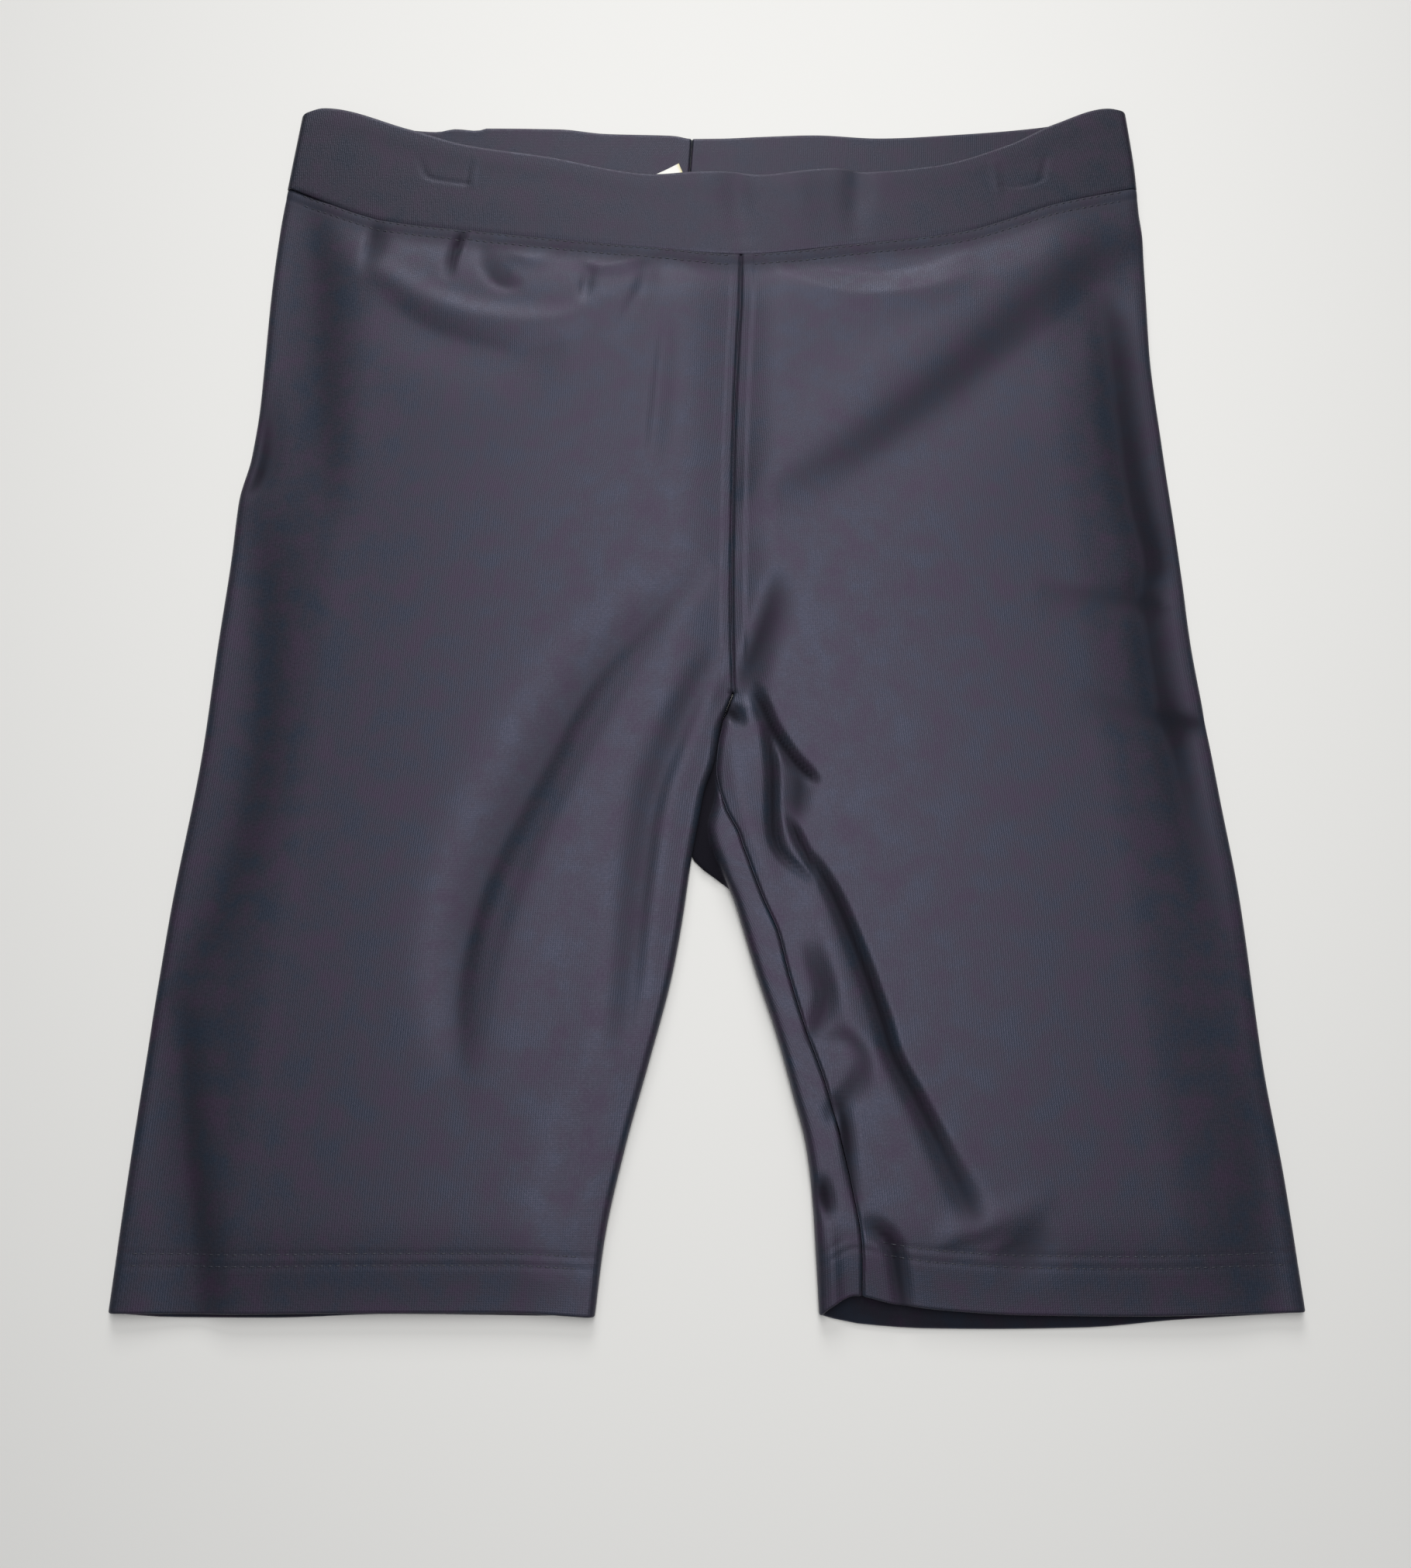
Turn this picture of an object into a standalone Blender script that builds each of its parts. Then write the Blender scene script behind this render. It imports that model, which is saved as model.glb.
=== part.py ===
"""Stretch knit biker shorts, laid flat with the front up.

Each leg is one piece of cloth, folded at the side and closed by an inseam. The legs meet at the centre front, the
centre back and the waistband. The frame is +Z up and +Y towards the waist, with the origin under the middle of the
outline. Left and right are the wearer's, so the right leg lies at -X. The garment has rolled a little about its
length: its front lies towards +X, so the left inseam shows on the front and the right one lies underneath.
Sizes are in millimetres, and add_piece turns them into metres.
"""

import math
from dataclasses import dataclass

import bmesh
import bpy
import numpy as np

METRES_PER_MM = 0.001

# Cloth
LEG_WALL = 1.0
HEM_WALL = 1.8
BAND_WALL = 2.0
SEAM_GAP = 0.3
HEM_HEIGHT = 19.0
HEM_STEP = 0.8
SEAM_RIDGE_WIDTH = 5.0
SEAM_RIDGE_HEIGHT = 0.6
FOLD_RADIUS = 2.3
LEAST_LAYER_GAP = 0.6
MOST_HEIGHT = 5.9
USUAL_HEIGHT = 3.9
THIGH_LOFT = 0.5
THIGH_LOFT_SPACING = 190.0
WAIST_LIFT = 0.5
WAIST_LIFT_REACH = 45.0

# Lengths along the garment
SIDE_WAIST_Y = 203.0
CROTCH_Y = -14.0
INSEAM_START_Y = -17.5
HEM_Y = -236.3
WAIST_CURVE_REACH = 120.0
HEM_CURVE_REACH = 40.0

# Rows and columns of the leg grids
ROWS_ABOVE_CROTCH = 18
ROWS_BELOW_CROTCH = 17
BACK_COLUMNS = 6
SIDE_FOLD_COLUMNS = 5
FRONT_COLUMNS = 28
INNER_FOLD_COLUMNS = 6
INNER_FOLD_REACH = 3.0
BACK_RISE_STRIP = 10.0
ENDS_DENSER = 0.35
NORMAL_STEP = 0.25
FLAT_SAMPLES = 60
QUARTER_FOLD_SAMPLES = 12

# Waistband grid
BAND_LEVELS = (0.0, 0.33, 0.67, 1.0)
BAND_BACK_COLUMNS = 9
BAND_FRONT_COLUMNS = 34
BAND_HEIGHT = 4.8
LABEL_LOFT = 0.9
LABEL_LOFT_X = -17.0
LABEL_LOFT_WIDTH = 26.0

# Label: a corner between two edges at these angles from +X
LABEL_CORNER = (-11.6, 215.7)
LABEL_WIDTH = 20.0
LABEL_HEIGHT = 24.0
LABEL_TOP_ANGLE = math.radians(208.4)
LABEL_SIDE_ANGLE = math.radians(291.0)
LABEL_UNDERSIDE = 2.35
LABEL_WALL = 1.0

# Lines down the garment, as (y, x) from waist to hem
RIGHT_SIDE_FOLD = (
    (241.0, -169.0), (218.0, -171.7), (203.0, -173.3), (185.0, -175.2), (153.0, -176.9), (108.0, -177.8),
    (65.0, -183.0), (4.0, -187.2), (-36.0, -190.0), (-100.0, -196.9), (-144.0, -200.5), (-236.0, -206.4),
)
LEFT_SIDE_FOLD = (
    (241.0, 175.2), (207.0, 177.7), (178.0, 178.9), (130.0, 178.1), (87.0, 180.3), (40.0, 183.6),
    (8.0, 185.1), (-55.0, 191.6), (-93.0, 195.7), (-151.0, 198.9), (-192.0, 203.2), (-236.0, 206.4),
)
CENTRE_FRONT = ((203.0, 14.0), (162.0, 13.5), (79.0, 10.4), (17.0, 9.5), (CROTCH_Y, 10.1))
CENTRE_BACK = ((241.0, -6.0), (203.0, -8.0), (60.0, -8.0), (20.0, -4.0), (0.0, 3.0), (CROTCH_Y, 9.8))
RIGHT_INNER_FOLD = (
    (CROTCH_Y, 9.8), (-27.0, 5.4), (-41.0, 2.9), (-52.0, -0.8), (-78.0, -5.7), (-101.0, -9.0),
    (-122.0, -12.9), (-151.0, -20.5), (-182.0, -29.0), (-212.0, -35.6), (-237.0, -38.7),
)
LEFT_INNER_FOLD = (
    (CROTCH_Y, 10.5), (-27.0, 6.2), (-41.0, 3.7), (-52.0, 0.2), (-64.0, -1.2), (-78.0, 2.9), (-91.0, 9.5),
    (-121.0, 18.1), (-142.0, 24.9), (-163.0, 30.5), (-181.0, 34.9), (-198.0, 36.8), (-237.0, 38.6),
)
# How far each inseam lies from its leg's inner fold, as (y, distance)
RIGHT_INSEAM_ROLL = ((CROTCH_Y, 0.0), (-45.0, 6.0), (-80.0, 11.0), (-237.0, 14.0))
LEFT_INSEAM_ROLL = ((CROTCH_Y, 0.0), (-41.0, 3.0), (-56.0, 6.5), (-69.0, 11.5), (-160.0, 14.0), (-237.0, 17.0))

# Lines across the garment, as (x, y)
FRONT_WAIST_SEAM = (
    (-173.0, 203.0), (-131.0, 187.0), (-42.0, 176.7), (14.0, 172.1), (60.0, 176.5), (104.0, 182.1),
    (142.0, 194.7), (178.0, 203.0),
)
BACK_WAIST_SEAM = ((-173.0, 203.0), (-113.0, 193.0), (-6.0, 189.0), (108.0, 191.0), (161.0, 200.0), (178.0, 203.0))
FRONT_TOP_EDGE = (
    (-170.0, 237.5), (-160.0, 240.8), (-124.0, 230.6), (-100.0, 223.2), (-68.0, 218.0), (-20.4, 209.4),
    (9.4, 211.0), (21.6, 209.2), (53.4, 212.3), (67.0, 210.6), (94.0, 213.2), (125.0, 223.0),
    (145.0, 233.0), (168.0, 240.6), (175.5, 239.0),
)
BACK_TOP_EDGE = (
    (-170.0, 237.5), (-160.0, 241.1), (-124.0, 231.6), (-93.0, 231.8), (-62.0, 231.6), (-14.0, 228.6), (-6.0, 227.1),
    (45.0, 228.8), (72.0, 227.3), (108.0, 229.3), (141.0, 233.0), (161.0, 238.6), (168.0, 241.3), (175.5, 239.0),
)
RIGHT_FRONT_HEM = ((-206.0, -236.2), (-168.0, -236.5), (-107.0, -236.0), (-70.0, -236.0), (-39.0, -237.6))
RIGHT_BACK_HEM = ((-206.0, -236.2), (-39.0, -237.0))
LEFT_FRONT_HEM = (
    (39.0, -236.6), (51.0, -230.4), (64.0, -233.0), (81.0, -235.1), (109.0, -236.7), (146.0, -237.1), (206.0, -235.8),
)
LEFT_BACK_HEM = ((39.0, -237.0), (53.0, -239.8), (76.0, -241.3), (131.0, -241.0), (161.0, -238.6), (206.0, -236.0))


@dataclass(frozen=True)
class Crease:
    """A soft ridge (height above 0) or trough (below 0) along a path of (x, y) points, `width` to its side."""

    height: float
    width: float
    path: tuple


LEG_CREASES = (
    # Right leg: the long diagonal trough from the crotch and the ridge beside it
    Crease(-1.9, 6.0, ((-1, 31), (-26, 11), (-45, -17), (-62, -52), (-77, -78), (-85, -101), (-89, -140))),
    Crease(1.3, 7.0, ((-4, 15), (-30, -12), (-47, -45), (-62, -78), (-70, -105), (-73, -140))),
    Crease(-1.1, 5.0, ((-7, -17), (-20, -56), (-25, -93), (-28, -130), (-45, -175), (-51, -206))),
    # Right leg: outer side
    Crease(-0.9, 8.0, ((-159, 188), (-150, 107), (-143, 56))),
    Crease(-1.2, 6.0, ((-168, 23), (-166, -37), (-172, -86), (-184, -119))),
    Crease(-1.5, 6.0, ((-185, -147), (-181, -182), (-173, -232))),
    # Right leg: curved wrinkle under the waist seam
    Crease(1.0, 6.0, ((-124, 156), (-84, 141), (-51, 141))),
    Crease(-0.9, 5.0, ((-112, 138), (-75, 125))),
    # Left leg: curved wrinkle under the waist seam, and the long diagonal to the side
    Crease(0.8, 6.0, ((38, 159), (66, 152), (94, 156))),
    Crease(1.2, 6.0, ((14, 79), (45, 111), (94, 142))),
    Crease(-1.8, 6.0, ((14, 66), (64, 97), (118, 132), (147, 159), (162, 176), (178, 180))),
    # Left leg: deep trough inside the side fold
    Crease(-2.0, 4.5, ((162, 138), (163, 99), (165, 65), (169, 40), (167, 23), (170, -9), (173, -23), (179, -67))),
    # Left leg: bunched cloth on the inner thigh
    Crease(-1.2, 5.0, ((24, 15), (16, -5))),
    Crease(-1.7, 4.0, ((18, -15), (25, -29), (34, -41), (41, -49))),
    Crease(-1.5, 4.0, ((23, -25), (24, -41), (25, -72), (34, -81))),
    Crease(1.4, 5.0, ((37, -30), (47, -62), (60, -92), (72, -125), (84, -155))),
    Crease(-2.1, 5.0, ((36, -78), (44, -92), (51, -104), (58, -123), (64, -141), (78, -171), (88, -198))),
    Crease(1.2, 5.0, ((24, -84), (39, -112), (50, -140), (61, -168))),
    Crease(0.9, 6.0, ((84, -211), (116, -201))),
)


def line_value(line, at):
    """The second column of `line` where its first column is `at`, joined smoothly and never past its neighbours."""
    ordered = sorted(line)
    keys = np.array([row[0] for row in ordered])
    values = np.array([row[1] for row in ordered])
    slopes = np.diff(values) / np.diff(keys)
    tangents = np.zeros(len(keys))
    tangents[0], tangents[-1] = slopes[0], slopes[-1]
    same_way = slopes[:-1] * slopes[1:] > 0
    tangents[1:-1][same_way] = 2 * slopes[:-1][same_way] * slopes[1:][same_way] / (slopes[:-1] + slopes[1:])[same_way]
    at = np.clip(np.asarray(at, float), keys[0], keys[-1])
    cell = np.clip(np.searchsorted(keys, at) - 1, 0, len(slopes) - 1)
    step = keys[cell + 1] - keys[cell]
    t = (at - keys[cell]) / step
    return (
        (2 * t**3 - 3 * t**2 + 1) * values[cell]
        + (t**3 - 2 * t**2 + t) * step * tangents[cell]
        + (3 * t**2 - 2 * t**3) * values[cell + 1]
        + (t**3 - t**2) * step * tangents[cell + 1]
    )


def crease_height(crease, x, y):
    """How far a crease lifts the cloth at (x, y)."""
    nearest = np.full(np.shape(x), np.inf)
    for (ax, ay), (bx, by) in zip(crease.path, crease.path[1:]):
        along_x, along_y = bx - ax, by - ay
        t = ((x - ax) * along_x + (y - ay) * along_y) / (along_x**2 + along_y**2)
        t = np.clip(t, 0, 1)
        nearest = np.minimum(nearest, np.hypot(x - ax - t * along_x, y - ay - t * along_y))
    return crease.height * np.exp(-((nearest / crease.width) ** 2))


def leg_wall(y):
    """The leg cloth's thickness, which is more where the hem is turned up."""
    return np.where(y < HEM_Y + HEM_HEIGHT, HEM_WALL, LEG_WALL)


def front_height(x, y):
    """Height of the front cloth's upper face over the floor."""
    waist_lift = WAIST_LIFT * np.exp(-(((SIDE_WAIST_Y - y) / WAIST_LIFT_REACH) ** 2))
    thigh_loft = THIGH_LOFT * np.cos(math.pi * (y - SIDE_WAIST_Y) / THIGH_LOFT_SPACING) ** 2
    loft = USUAL_HEIGHT + waist_lift + thigh_loft
    for crease in LEG_CREASES:
        loft = loft + crease_height(crease, x, y)
    least = 2 * leg_wall(y) + LEAST_LAYER_GAP
    middle, half = (MOST_HEIGHT + least) / 2, (MOST_HEIGHT - least) / 2
    return middle + half * np.tanh((loft - middle) / half)


@dataclass(frozen=True)
class Leg:
    """One leg's outline. `out` is the way to its side fold, -1 or 1 along X."""

    name: str
    out: int
    side_fold: tuple
    inner_fold: tuple
    inseam_roll: tuple
    inseam_on_front: bool
    front_hem: tuple
    back_hem: tuple


RIGHT_LEG = Leg(
    "right_leg", -1, RIGHT_SIDE_FOLD, RIGHT_INNER_FOLD, RIGHT_INSEAM_ROLL, False, RIGHT_FRONT_HEM, RIGHT_BACK_HEM
)
LEFT_LEG = Leg(
    "left_leg", 1, LEFT_SIDE_FOLD, LEFT_INNER_FOLD, LEFT_INSEAM_ROLL, True, LEFT_FRONT_HEM, LEFT_BACK_HEM
)


def half_ellipse(centre_x, out, radius, height, first, last, count):
    """Points round a fold, from angle `first` to `last` in degrees, where -90 is the floor and 90 the top."""
    angles = np.radians(np.linspace(first, last, count))
    return np.column_stack([centre_x + out * radius * np.cos(angles), height / 2 * (1 + np.sin(angles))])


def flat_run(first_x, last_x, y, on_front):
    """Points of one layer of cloth between two places across the garment."""
    x = np.linspace(first_x, last_x, FLAT_SAMPLES)
    z = front_height(x, y) if on_front else np.zeros(FLAT_SAMPLES)
    return np.column_stack([x, z])


def path_length(points):
    return np.concatenate([[0], np.cumsum(np.hypot(*np.diff(points, axis=0).T))])


def points_at(points, distances):
    """Points of a section at these distances from its start."""
    measured = path_length(points)
    return np.column_stack([np.interp(distances, measured, points[:, k]) for k in (0, 1)])


def zone(first, last, count, denser=0.0):
    """`count` distances from `first`, with `last` left out. `denser` gathers them at both ends."""
    share = np.arange(count) / count
    share = share - denser * np.sin(2 * math.pi * share) / (2 * math.pi)
    return first + (last - first) * share


def open_section(leg, y):
    """Section above the crotch, from the centre back round the side fold to the centre front."""
    side = line_value(leg.side_fold, y) - leg.out * FOLD_RADIUS
    back_edge = line_value(CENTRE_BACK, y) + leg.out * SEAM_GAP / 2
    front_edge = line_value(CENTRE_FRONT, y) + leg.out * SEAM_GAP / 2
    back = flat_run(back_edge, side, y, on_front=False)
    front = flat_run(side, front_edge, y, on_front=True)
    fold = half_ellipse(side, leg.out, FOLD_RADIUS, front[0, 1], -90, 90, 2 * QUARTER_FOLD_SAMPLES)
    section = np.concatenate([back, fold[1:-1], front])
    measured = path_length(section)
    fold_start, fold_end, whole = measured[len(back) - 1], measured[-len(front)], measured[-1]
    if leg.inseam_on_front:
        return section, (fold_start, fold_end, BACK_RISE_STRIP, whole)
    return section, (fold_start, fold_end, 0.0, whole - BACK_RISE_STRIP)


def opened_at(loop, distance):
    """A closed loop as a section that starts and ends at this distance along it."""
    measured = path_length(loop)
    place = points_at(loop, [distance])
    return np.concatenate([place, loop[measured > distance], loop[1:][measured[1:] < distance], place])


def closed_section(leg, y):
    """Section below the crotch: a flattened tube, open only at its inseam."""
    side = line_value(leg.side_fold, y) - leg.out * FOLD_RADIUS
    inner = line_value(leg.inner_fold, y) + leg.out * FOLD_RADIUS
    roll = line_value(leg.inseam_roll, y)
    front = flat_run(side, inner, y, on_front=True)
    inner_top = half_ellipse(inner, -leg.out, FOLD_RADIUS, front[-1, 1], 90, 0, QUARTER_FOLD_SAMPLES)
    inner_bottom = half_ellipse(inner, -leg.out, FOLD_RADIUS, front[-1, 1], 0, -90, QUARTER_FOLD_SAMPLES)
    back = flat_run(inner, side, y, on_front=False)
    side_fold = half_ellipse(side, leg.out, FOLD_RADIUS, front[0, 1], -90, 90, 2 * QUARTER_FOLD_SAMPLES)
    loop = np.concatenate([inner_bottom, back[1:], side_fold[1:-1], front, inner_top[1:]])
    measured = path_length(loop)
    whole = measured[-1]
    back_start, side_start = measured[len(inner_bottom) - 1], measured[len(inner_bottom) + len(back) - 2]
    side_end = measured[-len(front) - len(inner_top) + 1]
    inner_end = measured[-len(inner_top)]
    if leg.inseam_on_front:
        marks = (roll + side_start, roll + side_end, roll + back_start + INNER_FOLD_REACH, whole)
        return opened_at(loop, whole - roll), marks
    marks = (side_start - roll, side_end - roll, 0.0, inner_end - INNER_FOLD_REACH - roll)
    return opened_at(loop, roll), marks


def normals_at(section, distances):
    """Unit normals of a section at these distances, on the right of its direction."""
    whole = path_length(section)[-1]
    ahead = points_at(section, np.minimum(np.asarray(distances) + NORMAL_STEP, whole))
    behind = points_at(section, np.maximum(np.asarray(distances) - NORMAL_STEP, 0.0))
    along = ahead - behind
    along /= np.hypot(*along.T)[:, None]
    return np.column_stack([along[:, 1], -along[:, 0]])


def leg_row(leg, y):
    """One row of a leg's grid from the back edge to the front edge, as its outer and its inner points."""
    is_closed = y <= INSEAM_START_Y
    section, marks = closed_section(leg, y) if is_closed else open_section(leg, y)
    fold_start, fold_end, back_start, front_end = marks
    whole = path_length(section)[-1]
    trim = SEAM_GAP / 2 if is_closed else 0.0
    distances = []
    if leg.inseam_on_front:
        distances.append(zone(trim, back_start, INNER_FOLD_COLUMNS))
        distances.append(zone(back_start, fold_start, BACK_COLUMNS))
    else:
        distances.append(zone(trim, fold_start, BACK_COLUMNS))
    distances.append(zone(fold_start, fold_end, SIDE_FOLD_COLUMNS))
    if leg.inseam_on_front:
        distances.append(zone(fold_end, whole - trim, FRONT_COLUMNS, ENDS_DENSER))
    else:
        distances.append(zone(fold_end, front_end, FRONT_COLUMNS, ENDS_DENSER))
        distances.append(zone(front_end, whole - trim, INNER_FOLD_COLUMNS))
    distances.append([whole - trim])
    distances = np.concatenate(distances)
    points = points_at(section, distances)
    return points, points - normals_at(section, distances) * leg.out * leg_wall(y)


def row_positions():
    """The rows' places down the leg, with pairs of rows where the section or the cloth's thickness changes."""
    above = np.linspace(SIDE_WAIST_Y, CROTCH_Y, ROWS_ABOVE_CROTCH + 1)
    hem_top = HEM_Y + HEM_HEIGHT
    below = np.linspace(INSEAM_START_Y, hem_top + HEM_STEP, ROWS_BELOW_CROTCH)
    return np.concatenate([above, below, [hem_top - HEM_STEP, (hem_top + HEM_Y) / 2, HEM_Y]])


def curved_ends(leg, points, y):
    """The y of a row's points, once the waist seam and the hem are given their curves."""
    x, z = points.T
    share = np.clip(z / front_height(x, y), 0, 1)
    waist_fade = max(0.0, 1 - (SIDE_WAIST_Y - y) / WAIST_CURVE_REACH) ** 2
    hem_fade = max(0.0, 1 - (y - HEM_Y) / HEM_CURVE_REACH) ** 2
    waist = share * line_value(FRONT_WAIST_SEAM, x) + (1 - share) * line_value(BACK_WAIST_SEAM, x)
    hem = share * line_value(leg.front_hem, x) + (1 - share) * line_value(leg.back_hem, x)
    return y + waist_fade * (waist - SEAM_GAP / 2 - SIDE_WAIST_Y) + hem_fade * (hem - HEM_Y)


def grid_shell(outer, inner):
    """Vertices and faces of a closed wall between two grids of points of the same size."""
    rows, columns = outer.shape[:2]
    count = rows * columns
    vertices = np.concatenate([outer.reshape(-1, 3), inner.reshape(-1, 3)])

    def at(row, column):
        return row * columns + column

    faces = []
    for i in range(rows - 1):
        for j in range(columns - 1):
            quad = (at(i, j), at(i + 1, j), at(i + 1, j + 1), at(i, j + 1))
            faces.append(quad)
            faces.append(tuple(count + k for k in reversed(quad)))
    rim = (
        [at(0, j) for j in range(columns)]
        + [at(i, columns - 1) for i in range(1, rows)]
        + [at(rows - 1, j) for j in range(columns - 2, -1, -1)]
        + [at(i, 0) for i in range(rows - 2, 0, -1)]
    )
    for a, b in zip(rim, rim[1:] + rim[:1]):
        faces.append((a, b, count + b, count + a))
    return vertices, faces


def cloth_material(name, colour, roughness):
    material = bpy.data.materials.new(name)
    material.use_nodes = True
    shader = material.node_tree.nodes["Principled BSDF"]
    shader.inputs["Base Color"].default_value = (*colour, 1.0)
    shader.inputs["Roughness"].default_value = roughness
    shader.inputs["Metallic"].default_value = 0.0
    return material


def add_piece(name, vertices, faces, material):
    """A mesh object in metres, with its faces pointing out."""
    mesh = bpy.data.meshes.new(name)
    mesh.from_pydata((np.asarray(vertices) * METRES_PER_MM).tolist(), [], faces)
    shape = bmesh.new()
    shape.from_mesh(mesh)
    bmesh.ops.recalc_face_normals(shape, faces=shape.faces)
    shape.to_mesh(mesh)
    shape.free()
    mesh.shade_smooth()
    mesh.set_sharp_from_angle(angle=math.radians(50))
    mesh.materials.append(material)
    piece = bpy.data.objects.new(name, mesh)
    bpy.context.collection.objects.link(piece)
    return piece


def seam_ridge(leg, points, y):
    """The extra height where the centre front seam's allowance lies, on the left leg beside the seam."""
    if leg.out < 0 or y < CROTCH_Y:
        return np.zeros(len(points))
    x, z = points.T
    beside = x - line_value(CENTRE_FRONT, y)
    return np.where((beside < SEAM_RIDGE_WIDTH) & (z > LEG_WALL), SEAM_RIDGE_HEIGHT, 0.0)


def build_leg(leg, material):
    outer, inner = [], []
    for y in row_positions():
        points, inside = leg_row(leg, y)
        lifted = points + np.column_stack([np.zeros(len(points)), seam_ridge(leg, points, y)])
        row_y = curved_ends(leg, points, y)
        outer.append(np.column_stack([lifted[:, 0], row_y, lifted[:, 1]]))
        inner.append(np.column_stack([inside[:, 0], row_y, inside[:, 1]]))
    vertices, faces = grid_shell(np.array(outer), np.array(inner))
    return add_piece(leg.name, vertices, faces, material)


def band_height(x):
    """Height of the front band's upper face, lifted a little where the label lies under it."""
    return BAND_HEIGHT + LABEL_LOFT * np.exp(-(((x - LABEL_LOFT_X) / LABEL_LOFT_WIDTH) ** 2))


def band_section(y):
    """Outer points of the band at one height, from the centre back round the left side, the front and the right."""
    radius = BAND_HEIGHT / 2
    left = line_value(LEFT_SIDE_FOLD, y) - radius
    right = line_value(RIGHT_SIDE_FOLD, y) + radius
    seam = line_value(CENTRE_BACK, y)
    back_left = np.column_stack([np.linspace(seam + SEAM_GAP / 2, left, BAND_BACK_COLUMNS + 1)] * 2)
    back_right = np.column_stack([np.linspace(right, seam - SEAM_GAP / 2, BAND_BACK_COLUMNS + 1)] * 2)
    back_left[:, 1] = back_right[:, 1] = 0.0
    front_x = np.linspace(left, right, BAND_FRONT_COLUMNS + 1)
    front = np.column_stack([front_x, band_height(front_x)])
    left_fold = half_ellipse(left, 1, radius, front[0, 1], -90, 90, SIDE_FOLD_COLUMNS + 1)
    right_fold = half_ellipse(right, -1, radius, front[-1, 1], 90, -90, SIDE_FOLD_COLUMNS + 1)
    return np.concatenate([back_left, left_fold[1:-1], front, right_fold[1:-1], back_right])


def build_waistband(material):
    outer, inner = [], []
    for level in BAND_LEVELS:
        points = band_section(SIDE_WAIST_Y + level * (BACK_TOP_EDGE[0][1] - SIDE_WAIST_Y))
        x, z = points.T
        share = np.clip(z / band_height(x), 0, 1)
        seam = share * line_value(FRONT_WAIST_SEAM, x) + (1 - share) * line_value(BACK_WAIST_SEAM, x)
        top = share * line_value(FRONT_TOP_EDGE, x) + (1 - share) * line_value(BACK_TOP_EDGE, x)
        row_y = seam + SEAM_GAP / 2 + level * (top - seam - SEAM_GAP / 2)
        inside = points - normals_at(points, path_length(points)) * BAND_WALL
        outer.append(np.column_stack([x, row_y, z]))
        inner.append(np.column_stack([inside[:, 0], row_y, inside[:, 1]]))
    vertices, faces = grid_shell(np.array(outer), np.array(inner))
    return add_piece("waistband", vertices, faces, material)


def build_label(material):
    """A bare label, whose upper corner shows above the front band."""
    corner = np.array(LABEL_CORNER)
    across = LABEL_WIDTH * np.array([math.cos(LABEL_TOP_ANGLE), math.sin(LABEL_TOP_ANGLE)])
    down = LABEL_HEIGHT * np.array([math.cos(LABEL_SIDE_ANGLE), math.sin(LABEL_SIDE_ANGLE)])
    outline = (corner, corner + across, corner + across + down, corner + down)
    vertices = [(*place, LABEL_UNDERSIDE + lift) for lift in (0.0, LABEL_WALL) for place in outline]
    sides = [(i, (i + 1) % 4, 4 + (i + 1) % 4, 4 + i) for i in range(4)]
    return add_piece("label", vertices, [(3, 2, 1, 0), (4, 5, 6, 7), *sides], material)


def main():
    for old in list(bpy.data.objects):
        bpy.data.objects.remove(old)
    leg_cloth = cloth_material("stretch_knit", (0.047, 0.051, 0.067), 0.85)
    band_cloth = cloth_material("waistband_knit", (0.050, 0.054, 0.070), 0.82)
    label_cloth = cloth_material("label_satin", (0.85, 0.84, 0.80), 0.6)
    build_leg(RIGHT_LEG, leg_cloth)
    build_leg(LEFT_LEG, leg_cloth)
    build_waistband(band_cloth)
    build_label(label_cloth)


main()
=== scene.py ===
"""The looks of stretch knit biker shorts, laid flat with the front up.

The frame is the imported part's: +Z up, +Y towards the waist, the wearer's left leg at +X. Sizes here are in
millimetres and become metres as each mesh is made. The legs and the waistband are thin shells on their
solids' form: flattened tubes with a flat underside, round side folds, sewn edges that dip into their seams,
and the front's creases. The camera stands where the photograph's did, nearly straight above.
"""

import logging
import math
from dataclasses import dataclass, field
from enum import Enum

import bpy
import numpy as np
from mathutils import Matrix, Vector

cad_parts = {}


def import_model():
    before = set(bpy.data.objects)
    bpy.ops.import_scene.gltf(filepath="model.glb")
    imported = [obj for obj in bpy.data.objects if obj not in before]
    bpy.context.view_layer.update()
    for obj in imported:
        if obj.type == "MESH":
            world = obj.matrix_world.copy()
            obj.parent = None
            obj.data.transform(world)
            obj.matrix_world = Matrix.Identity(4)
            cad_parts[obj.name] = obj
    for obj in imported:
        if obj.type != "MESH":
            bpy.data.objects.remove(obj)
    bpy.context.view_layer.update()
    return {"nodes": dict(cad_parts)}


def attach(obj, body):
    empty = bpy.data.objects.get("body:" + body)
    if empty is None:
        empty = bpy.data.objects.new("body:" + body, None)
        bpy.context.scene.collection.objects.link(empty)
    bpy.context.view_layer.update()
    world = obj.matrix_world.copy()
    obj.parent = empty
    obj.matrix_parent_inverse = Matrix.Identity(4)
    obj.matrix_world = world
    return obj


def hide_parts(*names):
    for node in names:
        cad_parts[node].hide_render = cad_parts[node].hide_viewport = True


logging.basicConfig(level=logging.INFO, format="%(levelname)s %(message)s")
LOG = logging.getLogger("shorts")

METRES_PER_MM = 0.001
CLOTH_MAP = "cloth_mm"
# Painted shade: how much the cloth's base colour is darkened at each point, in creases and hollows
PAINTED_SHADE = "painted_shade"

# Lengths along the garment, as in the part
SIDE_WAIST_Y = 203.0
CROTCH_Y = -14.0
HEM_Y = -236.3
TOP_Y = 237.5


class Slot(Enum):
    """Names of material slots."""

    LEG = "leg_knit"
    BAND = "band_knit"
    LABEL = "label_satin"


class Side(Enum):
    """Which way a leg's side fold lies along X."""

    RIGHT = -1
    LEFT = 1


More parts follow.
